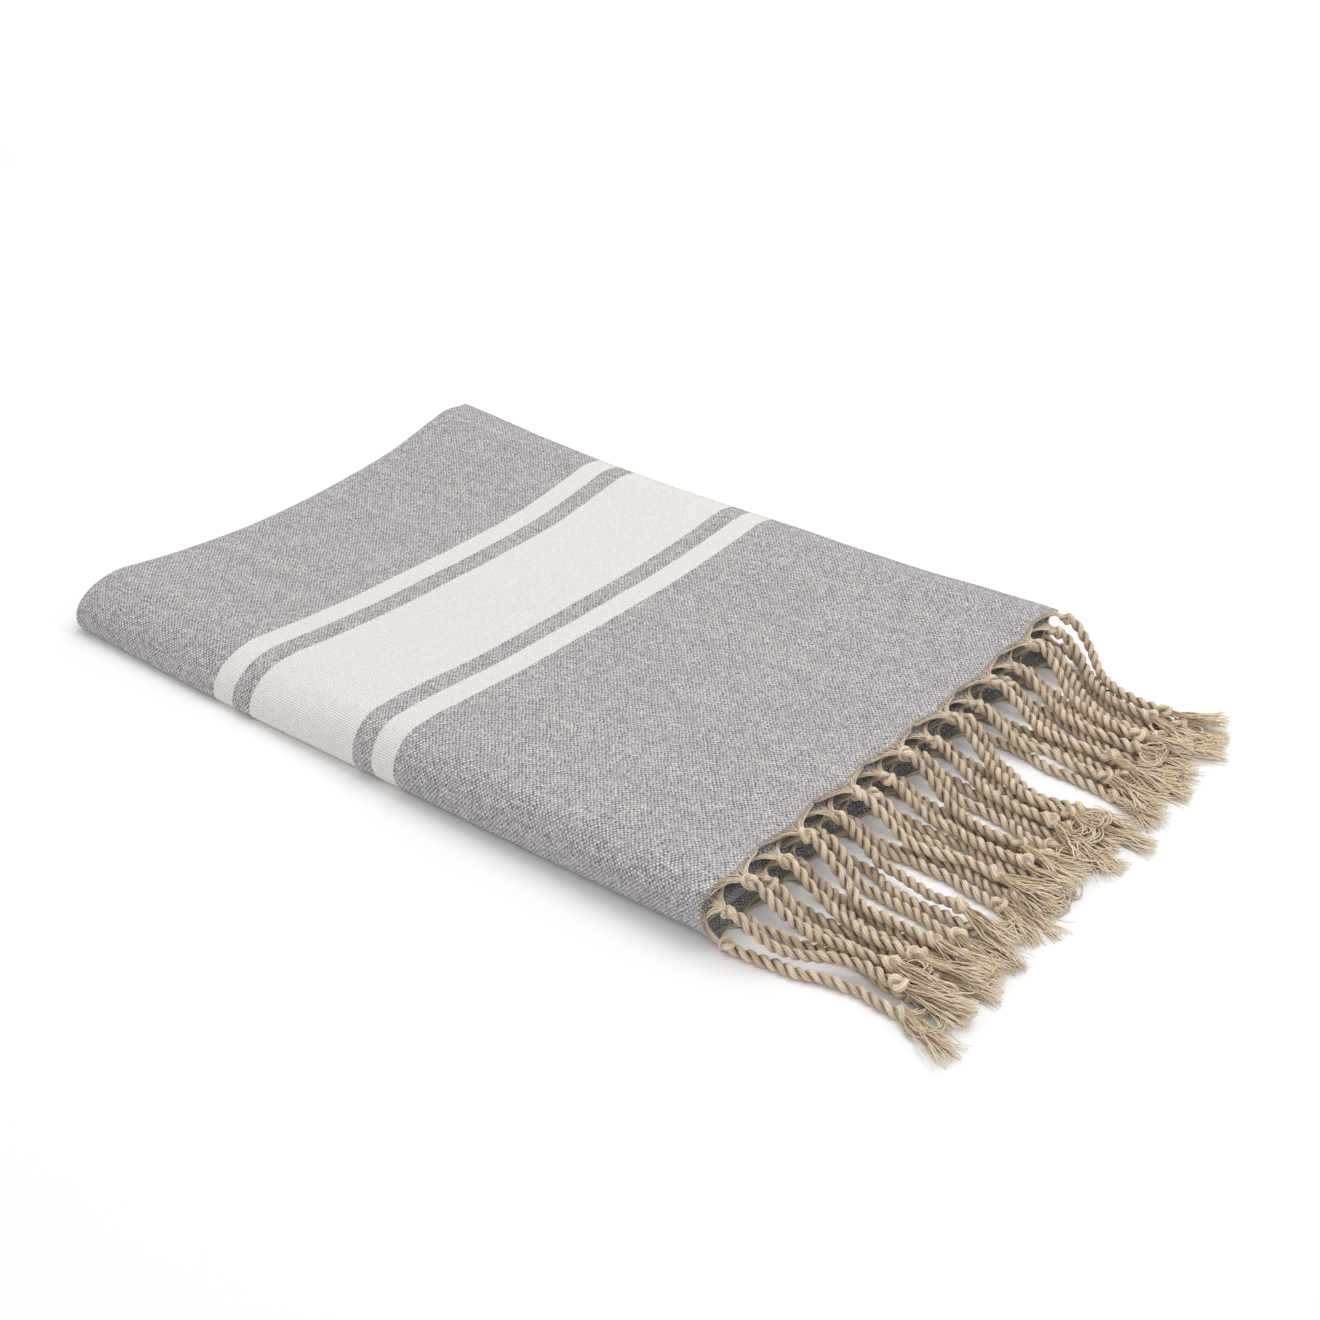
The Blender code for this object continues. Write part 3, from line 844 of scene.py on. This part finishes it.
def gathered_thread(strand, start, far_end, chance):
    """A warp thread from its place on the cloth's edge to the strand's knot."""
    layer, length = strand["layer"], edge_lengths[strand["layer"]]
    knot_place, goal = strand["place"], strand["route"][2]
    t = np.linspace(0, 1, 10)
    place = start + (knot_place - start) * t**1.4
    passed = np.maximum(np.abs(place - far_end) * length / WARP_STEP, 1.0)
    radius = BUNDLE_GROWTH * np.sqrt(passed)
    angle, out = chance.uniform(0, 2 * math.pi), math.sqrt(chance.uniform(0, 1))
    joined = ease(np.abs(place - start) * length, 0.0, JOIN_RUN)
    edge = EDGES[layer] + scalloped(layer, place)
    points = edge_point(layer, place)
    points[:, 2] = hung(layer, edge, points[:, 2])
    points[:, 0] = edge - LAID_ON_CLOTH * (1 - joined) + radius * (1 + out * math.cos(angle)) * joined
    aside = radius * out * math.sin(angle) * joined - OFF_SHEET * (1 - joined)
    points = points + edge_normal(layer, place) * aside[:, None]
    knot_spot = goal + np.array([-0.001, 1.0, 1.0]) * chance.normal(0, KNOT_SPREAD, 3)
    last = ease(t, 0.70, 1.0)[:, None]
    points = above_floor(points * (1 - last) + knot_spot * last, THREAD_RADIUS)
    return points, THREAD_RADIUS * chance.uniform(0.72, 0.90), chance.uniform(0.2, 1)


gathers = {}
for layer, word in FRINGES.items():
    lines = []
    own = sorted((s for s in strands if s["layer"] == layer), key=lambda s: s["place"])
    places = np.array([s["place"] for s in own])
    between = np.concatenate([[0.0], (places[1:] + places[:-1]) / 2, [1.0]])
    for i, strand in enumerate(own):
        chance = np.random.default_rng(WARP_SEED + 50 * layer + i)
        for start in np.arange(between[i], between[i + 1], WARP_STEP / edge_lengths[layer]):
            far_end = between[i] if start < strand["place"] else between[i + 1]
            lines.append(gathered_thread(strand, start, far_end, chance))
    gathers[layer] = swept_piece(f"gathered_warp_{word}_end", lines, 0)

# %% [markdown]
# The last weft thread has worked loose. It runs along the edge in and out of the gathered warp, dark
# against it, and bends out to each knot with it. A few short ends of weft have dropped on the floor.

# %% The loose weft
WEFT_RADIUS = 0.00024
WEFT_OUT = 0.0001  # past the cloth's edge
FALLEN_RADIUS = 0.00012
FALLEN_FROM, FALLEN_TO = (0.29, -0.16), (0.365, 0.12)  # the stretch of floor that they lie on


def loose_weft(layer, chance):
    place = np.linspace(0.001, 0.999, int(edge_lengths[layer] / 0.0022))
    points = edge_point(layer, place)
    weave_in_out = np.sin(math.pi * np.arange(len(place)) * 0.9 + chance.uniform(0, 6))
    wander = np.interp(place, np.linspace(0, 1, 90), chance.normal(0, 0.0004, 90))
    points[:, 0] += WEFT_OUT + scalloped(layer, place) + wander
    points[:, 2] = hung(layer, points[:, 0], points[:, 2])
    points = points + edge_normal(layer, place) * (0.0006 * weave_in_out)[:, None]
    return above_floor(points, WEFT_RADIUS), WEFT_RADIUS, chance.uniform(0, 1)


def fallen_end(chance):
    length, turn, bend = chance.uniform(0.004, 0.008), chance.uniform(-0.6, 0.6), chance.uniform(-1.5, 1.5)
    t = np.linspace(0, 1, 7)
    steps = np.stack([np.cos(turn + bend * t), np.sin(turn + bend * t), 0 * t], axis=1) * length / 6
    start = np.array([*chance.uniform(FALLEN_FROM, FALLEN_TO), 0.0003])
    return start + np.concatenate([[[0, 0, 0]], np.cumsum(steps[:-1], axis=0)]), FALLEN_RADIUS, 0.3


wefts = {}
for layer, word in FRINGES.items():
    chance = np.random.default_rng(WEFT_SEED + layer)
    lines = [loose_weft(layer, chance)] + [fallen_end(chance) for _ in range(4)]
    wefts[layer] = swept_piece(f"loose_weft_{word}_end", lines, 0)

# %% [markdown]
# ## Helpers for the materials
#
# A material is a tree of nodes. A few small helpers keep the next cells short. They start a material or a
# node group, add a node with its settings and its inputs, add a step of arithmetic, and blend or scale
# colours. An input is a plain value or another node's socket, and `give` links what is a socket.

# %% Node helpers
def new_group(name, inputs, outputs):
    """A node group with named sockets. Their kinds are Vector, Float and Color."""
    group = bpy.data.node_groups.new(name, "ShaderNodeTree")
    for socket, kind, value in inputs:
        made = group.interface.new_socket(socket, in_out="INPUT", socket_type="NodeSocket" + kind)
        if value is not None:
            made.default_value = value
    for socket, kind in outputs:
        group.interface.new_socket(socket, in_out="OUTPUT", socket_type="NodeSocket" + kind)
    return group, group.nodes.new("NodeGroupInput"), group.nodes.new("NodeGroupOutput")


def new_look(name, constants):
    """A material, with the values that are the same all over its surface on the shader's own sockets."""
    look = bpy.data.materials.new(name)
    look.use_nodes = True
    shader = look.node_tree.nodes["Principled BSDF"]
    for socket, value in constants.items():
        shader.inputs[socket].default_value = value
    return look, look.node_tree, shader


def give(tree, socket, value):
    if isinstance(value, bpy.types.NodeSocket):
        tree.links.new(value, socket)
    else:
        socket.default_value = value


def node(tree, kind, inputs=None, **settings):
    made = tree.nodes.new(kind)
    for key, value in settings.items():
        setattr(made, key, value)
    for key, value in (inputs or {}).items():
        give(tree, made.inputs[key], value)
    return made


def maths(tree, operation, *values):
    return node(tree, "ShaderNodeMath", dict(enumerate(values)), operation=operation).outputs[0]


def blend_colours(tree, factor, first, second):
    return node(tree, "ShaderNodeMix", {0: factor, 6: first, 7: second}, data_type="RGBA").outputs[2]


def scale_colour(tree, colour, by):
    return node(tree, "ShaderNodeVectorMath", {0: colour, "Scale": by}, operation="SCALE").outputs["Vector"]


# %% [markdown]
# ## The weave as a node group
#
# Plain weave is a chequerboard: at each crossing either the warp or the weft is on top. The warp is the
# stiffer yarn here, so the stretch where it's on top is a little longer, and the pattern looks like
# brickwork. The group takes the UV map in metres and gives back which one is on top, how high the thread
# stands there, and a few random numbers: one for each warp thread, one for each weft thread and one for
# each crossing. Those numbers are what makes real cotton look like threads and not like a pattern.

# %% The plain weave
weave, weave_in, weave_out = new_group(
    "plain_weave",
    [("Cloth Place", "Vector", None), ("Warp Pitch", "Float", 0.0014),
     ("Weft Pitch", "Float", 0.00125), ("Warp Share", "Float", 0.59)],
    [("Warp On Top", "Float"), ("Across Warp", "Float"), ("Across Weft", "Float"),
     ("Warp Random", "Float"), ("Weft Random", "Float"), ("Crossing Random", "Float")],
)
split = node(weave, "ShaderNodeSeparateXYZ", {"Vector": weave_in.outputs["Cloth Place"]})
warp_at = maths(weave, "DIVIDE", split.outputs["Y"], weave_in.outputs["Warp Pitch"])
weft_at = maths(weave, "DIVIDE", split.outputs["X"], weave_in.outputs["Weft Pitch"])
warp_count = maths(weave, "FLOOR", warp_at)
weft_count = maths(weave, "FLOOR", weft_at)
thread_random = {}
for socket, value in (("Warp Random", warp_count), ("Weft Random", weft_count)):
    noise = node(weave, "ShaderNodeTexWhiteNoise", {"W": value}, noise_dimensions="1D")
    thread_random[socket] = noise.outputs["Value"]
    weave.links.new(noise.outputs["Value"], weave_out.inputs[socket])
late = maths(weave, "MULTIPLY_ADD", thread_random["Warp Random"], 0.30, 100.0)
along_pair = maths(weave, "MULTIPLY", maths(weave, "ADD", maths(weave, "ADD", weft_at, warp_count), late), 0.5)
pair = node(weave, "ShaderNodeCombineXYZ", {"X": warp_count, "Y": maths(weave, "FLOOR", along_pair)})
noise = node(weave, "ShaderNodeTexWhiteNoise", {"Vector": pair.outputs["Vector"]}, noise_dimensions="2D")
uneven = maths(weave, "MULTIPLY_ADD", noise.outputs["Value"], 0.30, -0.15)
warp_share = maths(weave, "ADD", weave_in.outputs["Warp Share"], uneven)
warp_top = maths(weave, "LESS_THAN", maths(weave, "FRACT", along_pair), warp_share)
weave.links.new(warp_top, weave_out.inputs["Warp On Top"])
for socket, value in (("Across Warp", warp_at), ("Across Weft", weft_at)):
    arch = maths(weave, "SINE", maths(weave, "MULTIPLY", maths(weave, "FRACT", value), math.pi))
    weave.links.new(maths(weave, "POWER", arch, 0.6), weave_out.inputs[socket])
crossing = maths(weave, "MULTIPLY_ADD", warp_top, 0.5, maths(weave, "FLOOR", along_pair))
cell = node(weave, "ShaderNodeCombineXYZ", {"X": warp_count, "Y": crossing})
noise = node(weave, "ShaderNodeTexWhiteNoise", {"Vector": cell.outputs["Vector"]}, noise_dimensions="2D")
weave.links.new(noise.outputs["Value"], weave_out.inputs["Crossing Random"])
print("weave group sockets:", [item.name for item in weave.interface.items_tree])

# %% [markdown]
# ## The cloth's material
#
# The warp is ecru from end to end. The weft is dark grey, and cream in the bands, so the grey field is a
# mix of the two and the bands are nearly white. Comparing the distance from the nearer end with the
# edges of the bands lays them: narrow cream, narrow grey, wide cream, narrow grey, narrow cream. The
# threads vary: each has its own shade, thick places come and go along it, and here and there is a dark
# fleck.

# %% The cloth's material
BANDS = ((0.2125, 0.2294), (0.2448, 0.3313), (0.3467, 0.3636))  # metres from the nearer end
WARP_COLOUR = (0.680, 0.655, 0.640)
GREY_WEFT = (0.240, 0.232, 0.236)
CREAM_WEFT = (0.940, 0.890, 0.857)
CREAM_WARP = (0.850, 0.795, 0.760, 1.0)
FLECK_COLOUR = (0.10, 0.10, 0.11, 1.0)
TICK_COLOUR = (0.13, 0.125, 0.12, 1.0)
LOOSE_EDGE = 0.0025  # the last of the cloth, where the dark weft shows as ticks between the warp

cloth_look, tree, shader = new_look("striped_plain_weave", {
    "Roughness": 0.92, "Specular IOR Level": 0.18, "Sheen Weight": 0.12, "Sheen Roughness": 0.5,
})
uv = node(tree, "ShaderNodeUVMap", uv_map="weave").outputs["UV"]
place = node(tree, "ShaderNodeSeparateXYZ", {"Vector": uv})
drift = node(tree, "ShaderNodeTexNoise", {"Vector": uv, "Scale": 70.0, "Detail": 4.0, "Roughness": 0.6})
drifts = node(tree, "ShaderNodeSeparateColor", {"Color": drift.outputs["Color"]})
along_drift = maths(tree, "MULTIPLY", maths(tree, "SUBTRACT", drifts.outputs["Red"], 0.5), 0.0040)
across_drift = maths(tree, "MULTIPLY", maths(tree, "SUBTRACT", drifts.outputs["Green"], 0.5), 0.0030)
along_cloth = maths(tree, "ADD", place.outputs["X"], along_drift)
across_cloth = maths(tree, "ADD", place.outputs["Y"], across_drift)
threads = node(tree, "ShaderNodeGroup", node_tree=weave)
weave_place = node(tree, "ShaderNodeCombineXYZ", {"X": along_cloth, "Y": across_cloth})
tree.links.new(weave_place.outputs["Vector"], threads.inputs["Cloth Place"])
in_threads = threads.outputs

row = maths(tree, "MULTIPLY_ADD", along_drift, 0.25, place.outputs["X"])  # a weft thread is nearly straight
from_end = maths(tree, "MINIMUM", row, maths(tree, "SUBTRACT", TOWEL_LENGTH, row))
cream = 0.0
for start, end in BANDS:
    after = maths(tree, "GREATER_THAN", from_end, start)
    before = maths(tree, "LESS_THAN", from_end, end)
    cream = maths(tree, "ADD", cream, maths(tree, "MULTIPLY", after, before))

streaks = node(
    tree, "ShaderNodeVectorMath", {0: weave_place.outputs["Vector"], 1: (800.0, 30.0, 1.0)}, operation="MULTIPLY"
)
slubs = node(tree, "ShaderNodeTexNoise", {"Vector": streaks.outputs["Vector"], "Scale": 1.0, "Detail": 1.0})
weft_shade = maths(tree, "MULTIPLY_ADD", in_threads["Weft Random"], 0.34, 0.32)
weft_shade = maths(tree, "MULTIPLY_ADD", slubs.outputs["Fac"], 0.70, weft_shade)
weft_shade = maths(tree, "MULTIPLY_ADD", in_threads["Crossing Random"], 0.80, weft_shade)
grey = scale_colour(tree, GREY_WEFT, weft_shade)
pale_shade = maths(tree, "MULTIPLY_ADD", in_threads["Crossing Random"], 0.20, 0.88)
weft_colour = blend_colours(tree, cream, grey, scale_colour(tree, CREAM_WEFT, pale_shade))

warp_shade = maths(tree, "MULTIPLY_ADD", in_threads["Warp Random"], 0.14, 0.64)
warp_shade = maths(tree, "MULTIPLY_ADD", in_threads["Crossing Random"], 0.38, warp_shade)
warp_in_band = blend_colours(tree, cream, scale_colour(tree, WARP_COLOUR, warp_shade), CREAM_WARP)
base = blend_colours(tree, in_threads["Warp On Top"], weft_colour, warp_in_band)

# Painted shade: the colour is darkened in the gaps between the warp threads and, less, between the weft threads,
# a little less in the cream bands.
contrast = maths(tree, "MULTIPLY_ADD", cream, -0.10, 1.0)
gap_shade_amount = maths(tree, "MULTIPLY", maths(tree, "SUBTRACT", 1.0, in_threads["Across Warp"]), 0.46)
gap_shade_amount = maths(tree, "MULTIPLY_ADD", maths(tree, "SUBTRACT", 1.0, in_threads["Across Weft"]), 0.10, gap_shade_amount)
painted_gap_shade = maths(tree, "SUBTRACT", 1.0, maths(tree, "MULTIPLY", gap_shade_amount, contrast))
shaded = scale_colour(tree, base, painted_gap_shade)

flecks = node(tree, "ShaderNodeTexVoronoi", {"Vector": uv, "Scale": 75.0, "Randomness": 1.0})
fleck = maths(tree, "LESS_THAN", flecks.outputs["Distance"], 0.055)
fleck = maths(tree, "MULTIPLY", fleck, maths(tree, "MULTIPLY_ADD", cream, -0.35, 0.55))
speckled = blend_colours(tree, fleck, shaded, FLECK_COLOUR)

edge = maths(tree, "LESS_THAN", from_end, LOOSE_EDGE)
tick = maths(tree, "MULTIPLY", edge, maths(tree, "LESS_THAN", in_threads["Across Warp"], 0.70))
colour = blend_colours(tree, tick, speckled, TICK_COLOUR)
tree.links.new(colour, shader.inputs["Base Color"])
height = maths(tree, "MULTIPLY", in_threads["Across Warp"], in_threads["Across Weft"])
bump = node(tree, "ShaderNodeBump", {"Strength": 0.6, "Distance": 0.0004, "Height": height})
tree.links.new(bump.outputs["Normal"], shader.inputs["Normal"])
cloth.data.materials.append(cloth_look)
print("cloth material:", len(tree.nodes), "nodes")

# %% [markdown]
# ## The cotton yarn as a node group
#
# The cords, the knots, the tufts, the gathered warp and the loose weft are all cotton yarn, so one group
# is built for them and each material gives it its own values. Fine slanting lines are the single yarns of
# a bunch: a sine of the place along the line and round it, with some noise so that no line is quite
# straight, and the colour is painted darker between them as shade. The tone of the line shifts the colour
# from thread to thread, and a groove between two yarns gets painted shade. The cut tips of the tufts are
# pale because their fibres have opened out; on the gathered warp the same blend is painted light towards
# the knots.

# %% The cotton yarn
# Painted shade: the dark colour that a groove between two yarns goes over to.
GROOVE_SHADE_COLOUR = (0.17, 0.105, 0.062, 1.0)
# The pale colour of the tufts' opened-out tips; on the gathered warp it is painted light near the knots.
TIP_COLOUR = (1.00, 0.89, 0.70, 1.0)

yarn, yarn_in, yarn_out = new_group(
    "cotton_yarn",
    [("Line Place", "Vector", None), ("Space Place", "Vector", None),
     ("Tone", "Float", 0.5), ("Outside", "Float", 1.0),
     ("Dark", "Color", None), ("Light", "Color", None),
     ("Yarns Along", "Float", 9.0), ("Yarns Round", "Float", 4.0),
     ("Line Depth And Shade", "Float", 0.3), ("Pale Tips And Painted Light", "Float", 0.0)],
    [("Colour", "Color"), ("Line Height", "Float")],
)
given = yarn_in.outputs
parts = node(yarn, "ShaderNodeSeparateXYZ", {"Vector": given["Line Place"]})
wobble = node(yarn, "ShaderNodeTexNoise", {"Vector": given["Space Place"], "Scale": 420.0, "Detail": 2.0})
phase = maths(yarn, "MULTIPLY", parts.outputs["X"], given["Yarns Along"])
phase = maths(yarn, "MULTIPLY_ADD", parts.outputs["Y"], given["Yarns Round"], phase)
phase = maths(yarn, "MULTIPLY_ADD", wobble.outputs["Fac"], 0.8, phase)
arch = maths(yarn, "ABSOLUTE", maths(yarn, "SINE", maths(yarn, "MULTIPLY", phase, math.pi)))
line = maths(yarn, "POWER", arch, 0.5)
yarn.links.new(line, yarn_out.inputs["Line Height"])

mottle = node(yarn, "ShaderNodeTexNoise", {"Vector": given["Space Place"], "Scale": 160.0, "Detail": 3.0})
lightness = maths(yarn, "MULTIPLY", given["Tone"], 0.40)
lightness = maths(yarn, "MULTIPLY_ADD", mottle.outputs["Fac"], 0.40, lightness)
# Painted shade: the colour is lighter on the crest of each single yarn and darker between them.
lightness = maths(yarn, "MULTIPLY_ADD", line, given["Line Depth And Shade"], lightness)
yarn_colour = blend_colours(yarn, lightness, given["Dark"], given["Light"])
# Pale ends: the tufts' cut tips, whose fibres have opened out, and painted light on the gathered warp towards
# its knots.
tips = maths(yarn, "MULTIPLY", maths(yarn, "POWER", parts.outputs["X"], 2.0), given["Pale Tips And Painted Light"])
yarn_colour = blend_colours(yarn, tips, yarn_colour, TIP_COLOUR)
# Painted shade: deep between two yarns the colour goes over to the groove shade colour.
yarn_colour = blend_colours(yarn, given["Outside"], GROOVE_SHADE_COLOUR, yarn_colour)
yarn.links.new(yarn_colour, yarn_out.inputs["Colour"])
print("yarn group sockets:", [item.name for item in yarn.interface.items_tree])

# %% [markdown]
# ## The fringe's materials
#
# The fringe is the bare warp: unbleached cotton, warmer and darker than it looks in the cloth, because
# nothing white is woven through it. A material holds the shader, the UV map and the two attributes that
# each line was given, and hands them to the yarn group. Cords and knots show deep lines between their
# yarns, in bump and in painted shade, loose threads hardly any. The gathered warp has darker colours as
# painted shade, where it lies under the cords at the edge, and is lighter towards its knots.

# %% The fringe's materials
def yarn_look(name, dark, light, yarns_along, yarns_round, line_depth_and_shade, pale_tips_and_painted_light):
    look, tree, shader = new_look(name, {"Roughness": 0.9, "Specular IOR Level": 0.2, "Sheen Weight": 0.15})
    surface = node(tree, "ShaderNodeGroup", {
        "Line Place": node(tree, "ShaderNodeUVMap", uv_map="UVMap").outputs["UV"],
        "Space Place": node(tree, "ShaderNodeTexCoord").outputs["Object"],
        "Tone": node(tree, "ShaderNodeAttribute", attribute_name="tone").outputs["Fac"],
        "Outside": node(tree, "ShaderNodeAttribute", attribute_name="outside").outputs["Fac"],
        "Dark": (*dark, 1.0),
        "Light": (*light, 1.0),
        "Yarns Along": yarns_along,
        "Yarns Round": yarns_round,
        "Line Depth And Shade": line_depth_and_shade,
        "Pale Tips And Painted Light": pale_tips_and_painted_light,
    }, node_tree=yarn)
    bump = node(tree, "ShaderNodeBump", {
        "Strength": 1.6 * line_depth_and_shade, "Distance": 0.0004, "Height": surface.outputs["Line Height"],
    })
    tree.links.new(surface.outputs["Colour"], shader.inputs["Base Color"])
    tree.links.new(bump.outputs["Normal"], shader.inputs["Normal"])
    return look


YARN_LOOKS = (
    # pieces, material, dark, light, yarns along and round, line depth and its painted shade, pale tips and
    # painted light at the ends
    (cords, "twisted_cotton", (0.27, 0.185, 0.120), (0.86, 0.71, 0.54), 18.0, 8.0, 0.55, 0.0),
    (knots, "knotted_cotton", (0.29, 0.200, 0.130), (0.90, 0.75, 0.57), 3.0, 7.0, 0.50, 0.0),
    (tufts, "loose_cotton", (0.27, 0.178, 0.110), (0.89, 0.715, 0.51), 9.0, 2.0, 0.15, 0.78),
    # The gathered warp's darker colours are painted shade, for where it lies under the cords at the edge, and
    # its pale end is painted light at the knot.
    (gathers, "gathered_cotton", (0.22, 0.155, 0.105), (0.74, 0.62, 0.48), 3.0, 2.0, 0.15, 0.60),
    (wefts, "dark_weft", (0.07, 0.07, 0.075), (0.20, 0.195, 0.20), 200.0, 2.0, 0.2, 0.0),
)
for pieces, *values in YARN_LOOKS:
    look = yarn_look(*values)
    for piece in pieces.values():
        piece.data.materials.append(look)
    print(look.name, "on", [piece.name for piece in pieces.values()])

# %% [markdown]
# ## The floor and the light
#
# The towel lies on a plain white floor. A bright sky all round fills the shadows. One large lamp hangs
# above the towel and a little behind it, so the top is lighter than the front roll and a soft shadow lies
# on the floor along the front edge. A second lamp lights only the far floor, which keeps the background
# white, as in a product picture.

# %% The floor and the light
FLOOR_HALF = 6.0
FLOOR_COLOUR = (0.925, 0.925, 0.925, 1.0)
SKY_STRENGTH = 0.79
LAMPS = (
    # name, shape, size, watts, place, aim
    ("soft_lamp", "DISK", (1.5, 1.5), 14.4, (0.10, 0.50, 1.70), (0.05, 0.0, 0.0)),
    ("background_lamp", "RECTANGLE", (3.0, 1.0), 60.0, (-1.6, 2.4, 1.6), (-2.0, 3.2, 0.0)),
)

floor_body = bmesh.new()
bmesh.ops.create_grid(floor_body, x_segments=1, y_segments=1, size=FLOOR_HALF)
floor = new_piece("floor", floor_body)
floor.data.materials.append(new_look("white_floor", {"Base Color": FLOOR_COLOUR, "Roughness": 0.9})[0])
floor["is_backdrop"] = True

sky = bpy.data.worlds.new("studio")
sky.use_nodes = True
sky.node_tree.nodes["Background"].inputs["Color"].default_value = (1.0, 1.0, 1.0, 1.0)
sky.node_tree.nodes["Background"].inputs["Strength"].default_value = SKY_STRENGTH
bpy.context.scene.world = sky

for name, shape, size, watts, lamp_place, aim in LAMPS:
    lamp = bpy.data.objects.new(name, bpy.data.lights.new(name, "AREA"))
    lamp.data.shape = shape
    lamp.data.size, lamp.data.size_y = size
    lamp.data.energy = watts
    lamp.location = lamp_place
    lamp.rotation_euler = (Vector(aim) - lamp.location).to_track_quat("-Z", "Y").to_euler()
    bpy.context.scene.collection.objects.link(lamp)
    print(name, "at", lamp_place)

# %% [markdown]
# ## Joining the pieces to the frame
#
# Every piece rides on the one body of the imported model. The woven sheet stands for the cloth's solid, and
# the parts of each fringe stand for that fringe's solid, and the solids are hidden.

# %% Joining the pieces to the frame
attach(cloth, "root")
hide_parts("cloth")
for layer, word in FRINGES.items():
    for pieces in (cords, knots, gathers, tufts, wefts):
        piece = pieces[layer]
        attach(piece, "root")
    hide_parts(f"fringe_{word}_end")

visual_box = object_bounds()
sizes = {"solids": [list(c) for c in solid_box], "visual": [list(c) for c in visual_box]}
for word, box in sizes.items():
    print(word, "mm:", [round((high - low) * 1000, 1) for low, high in zip(*box)])
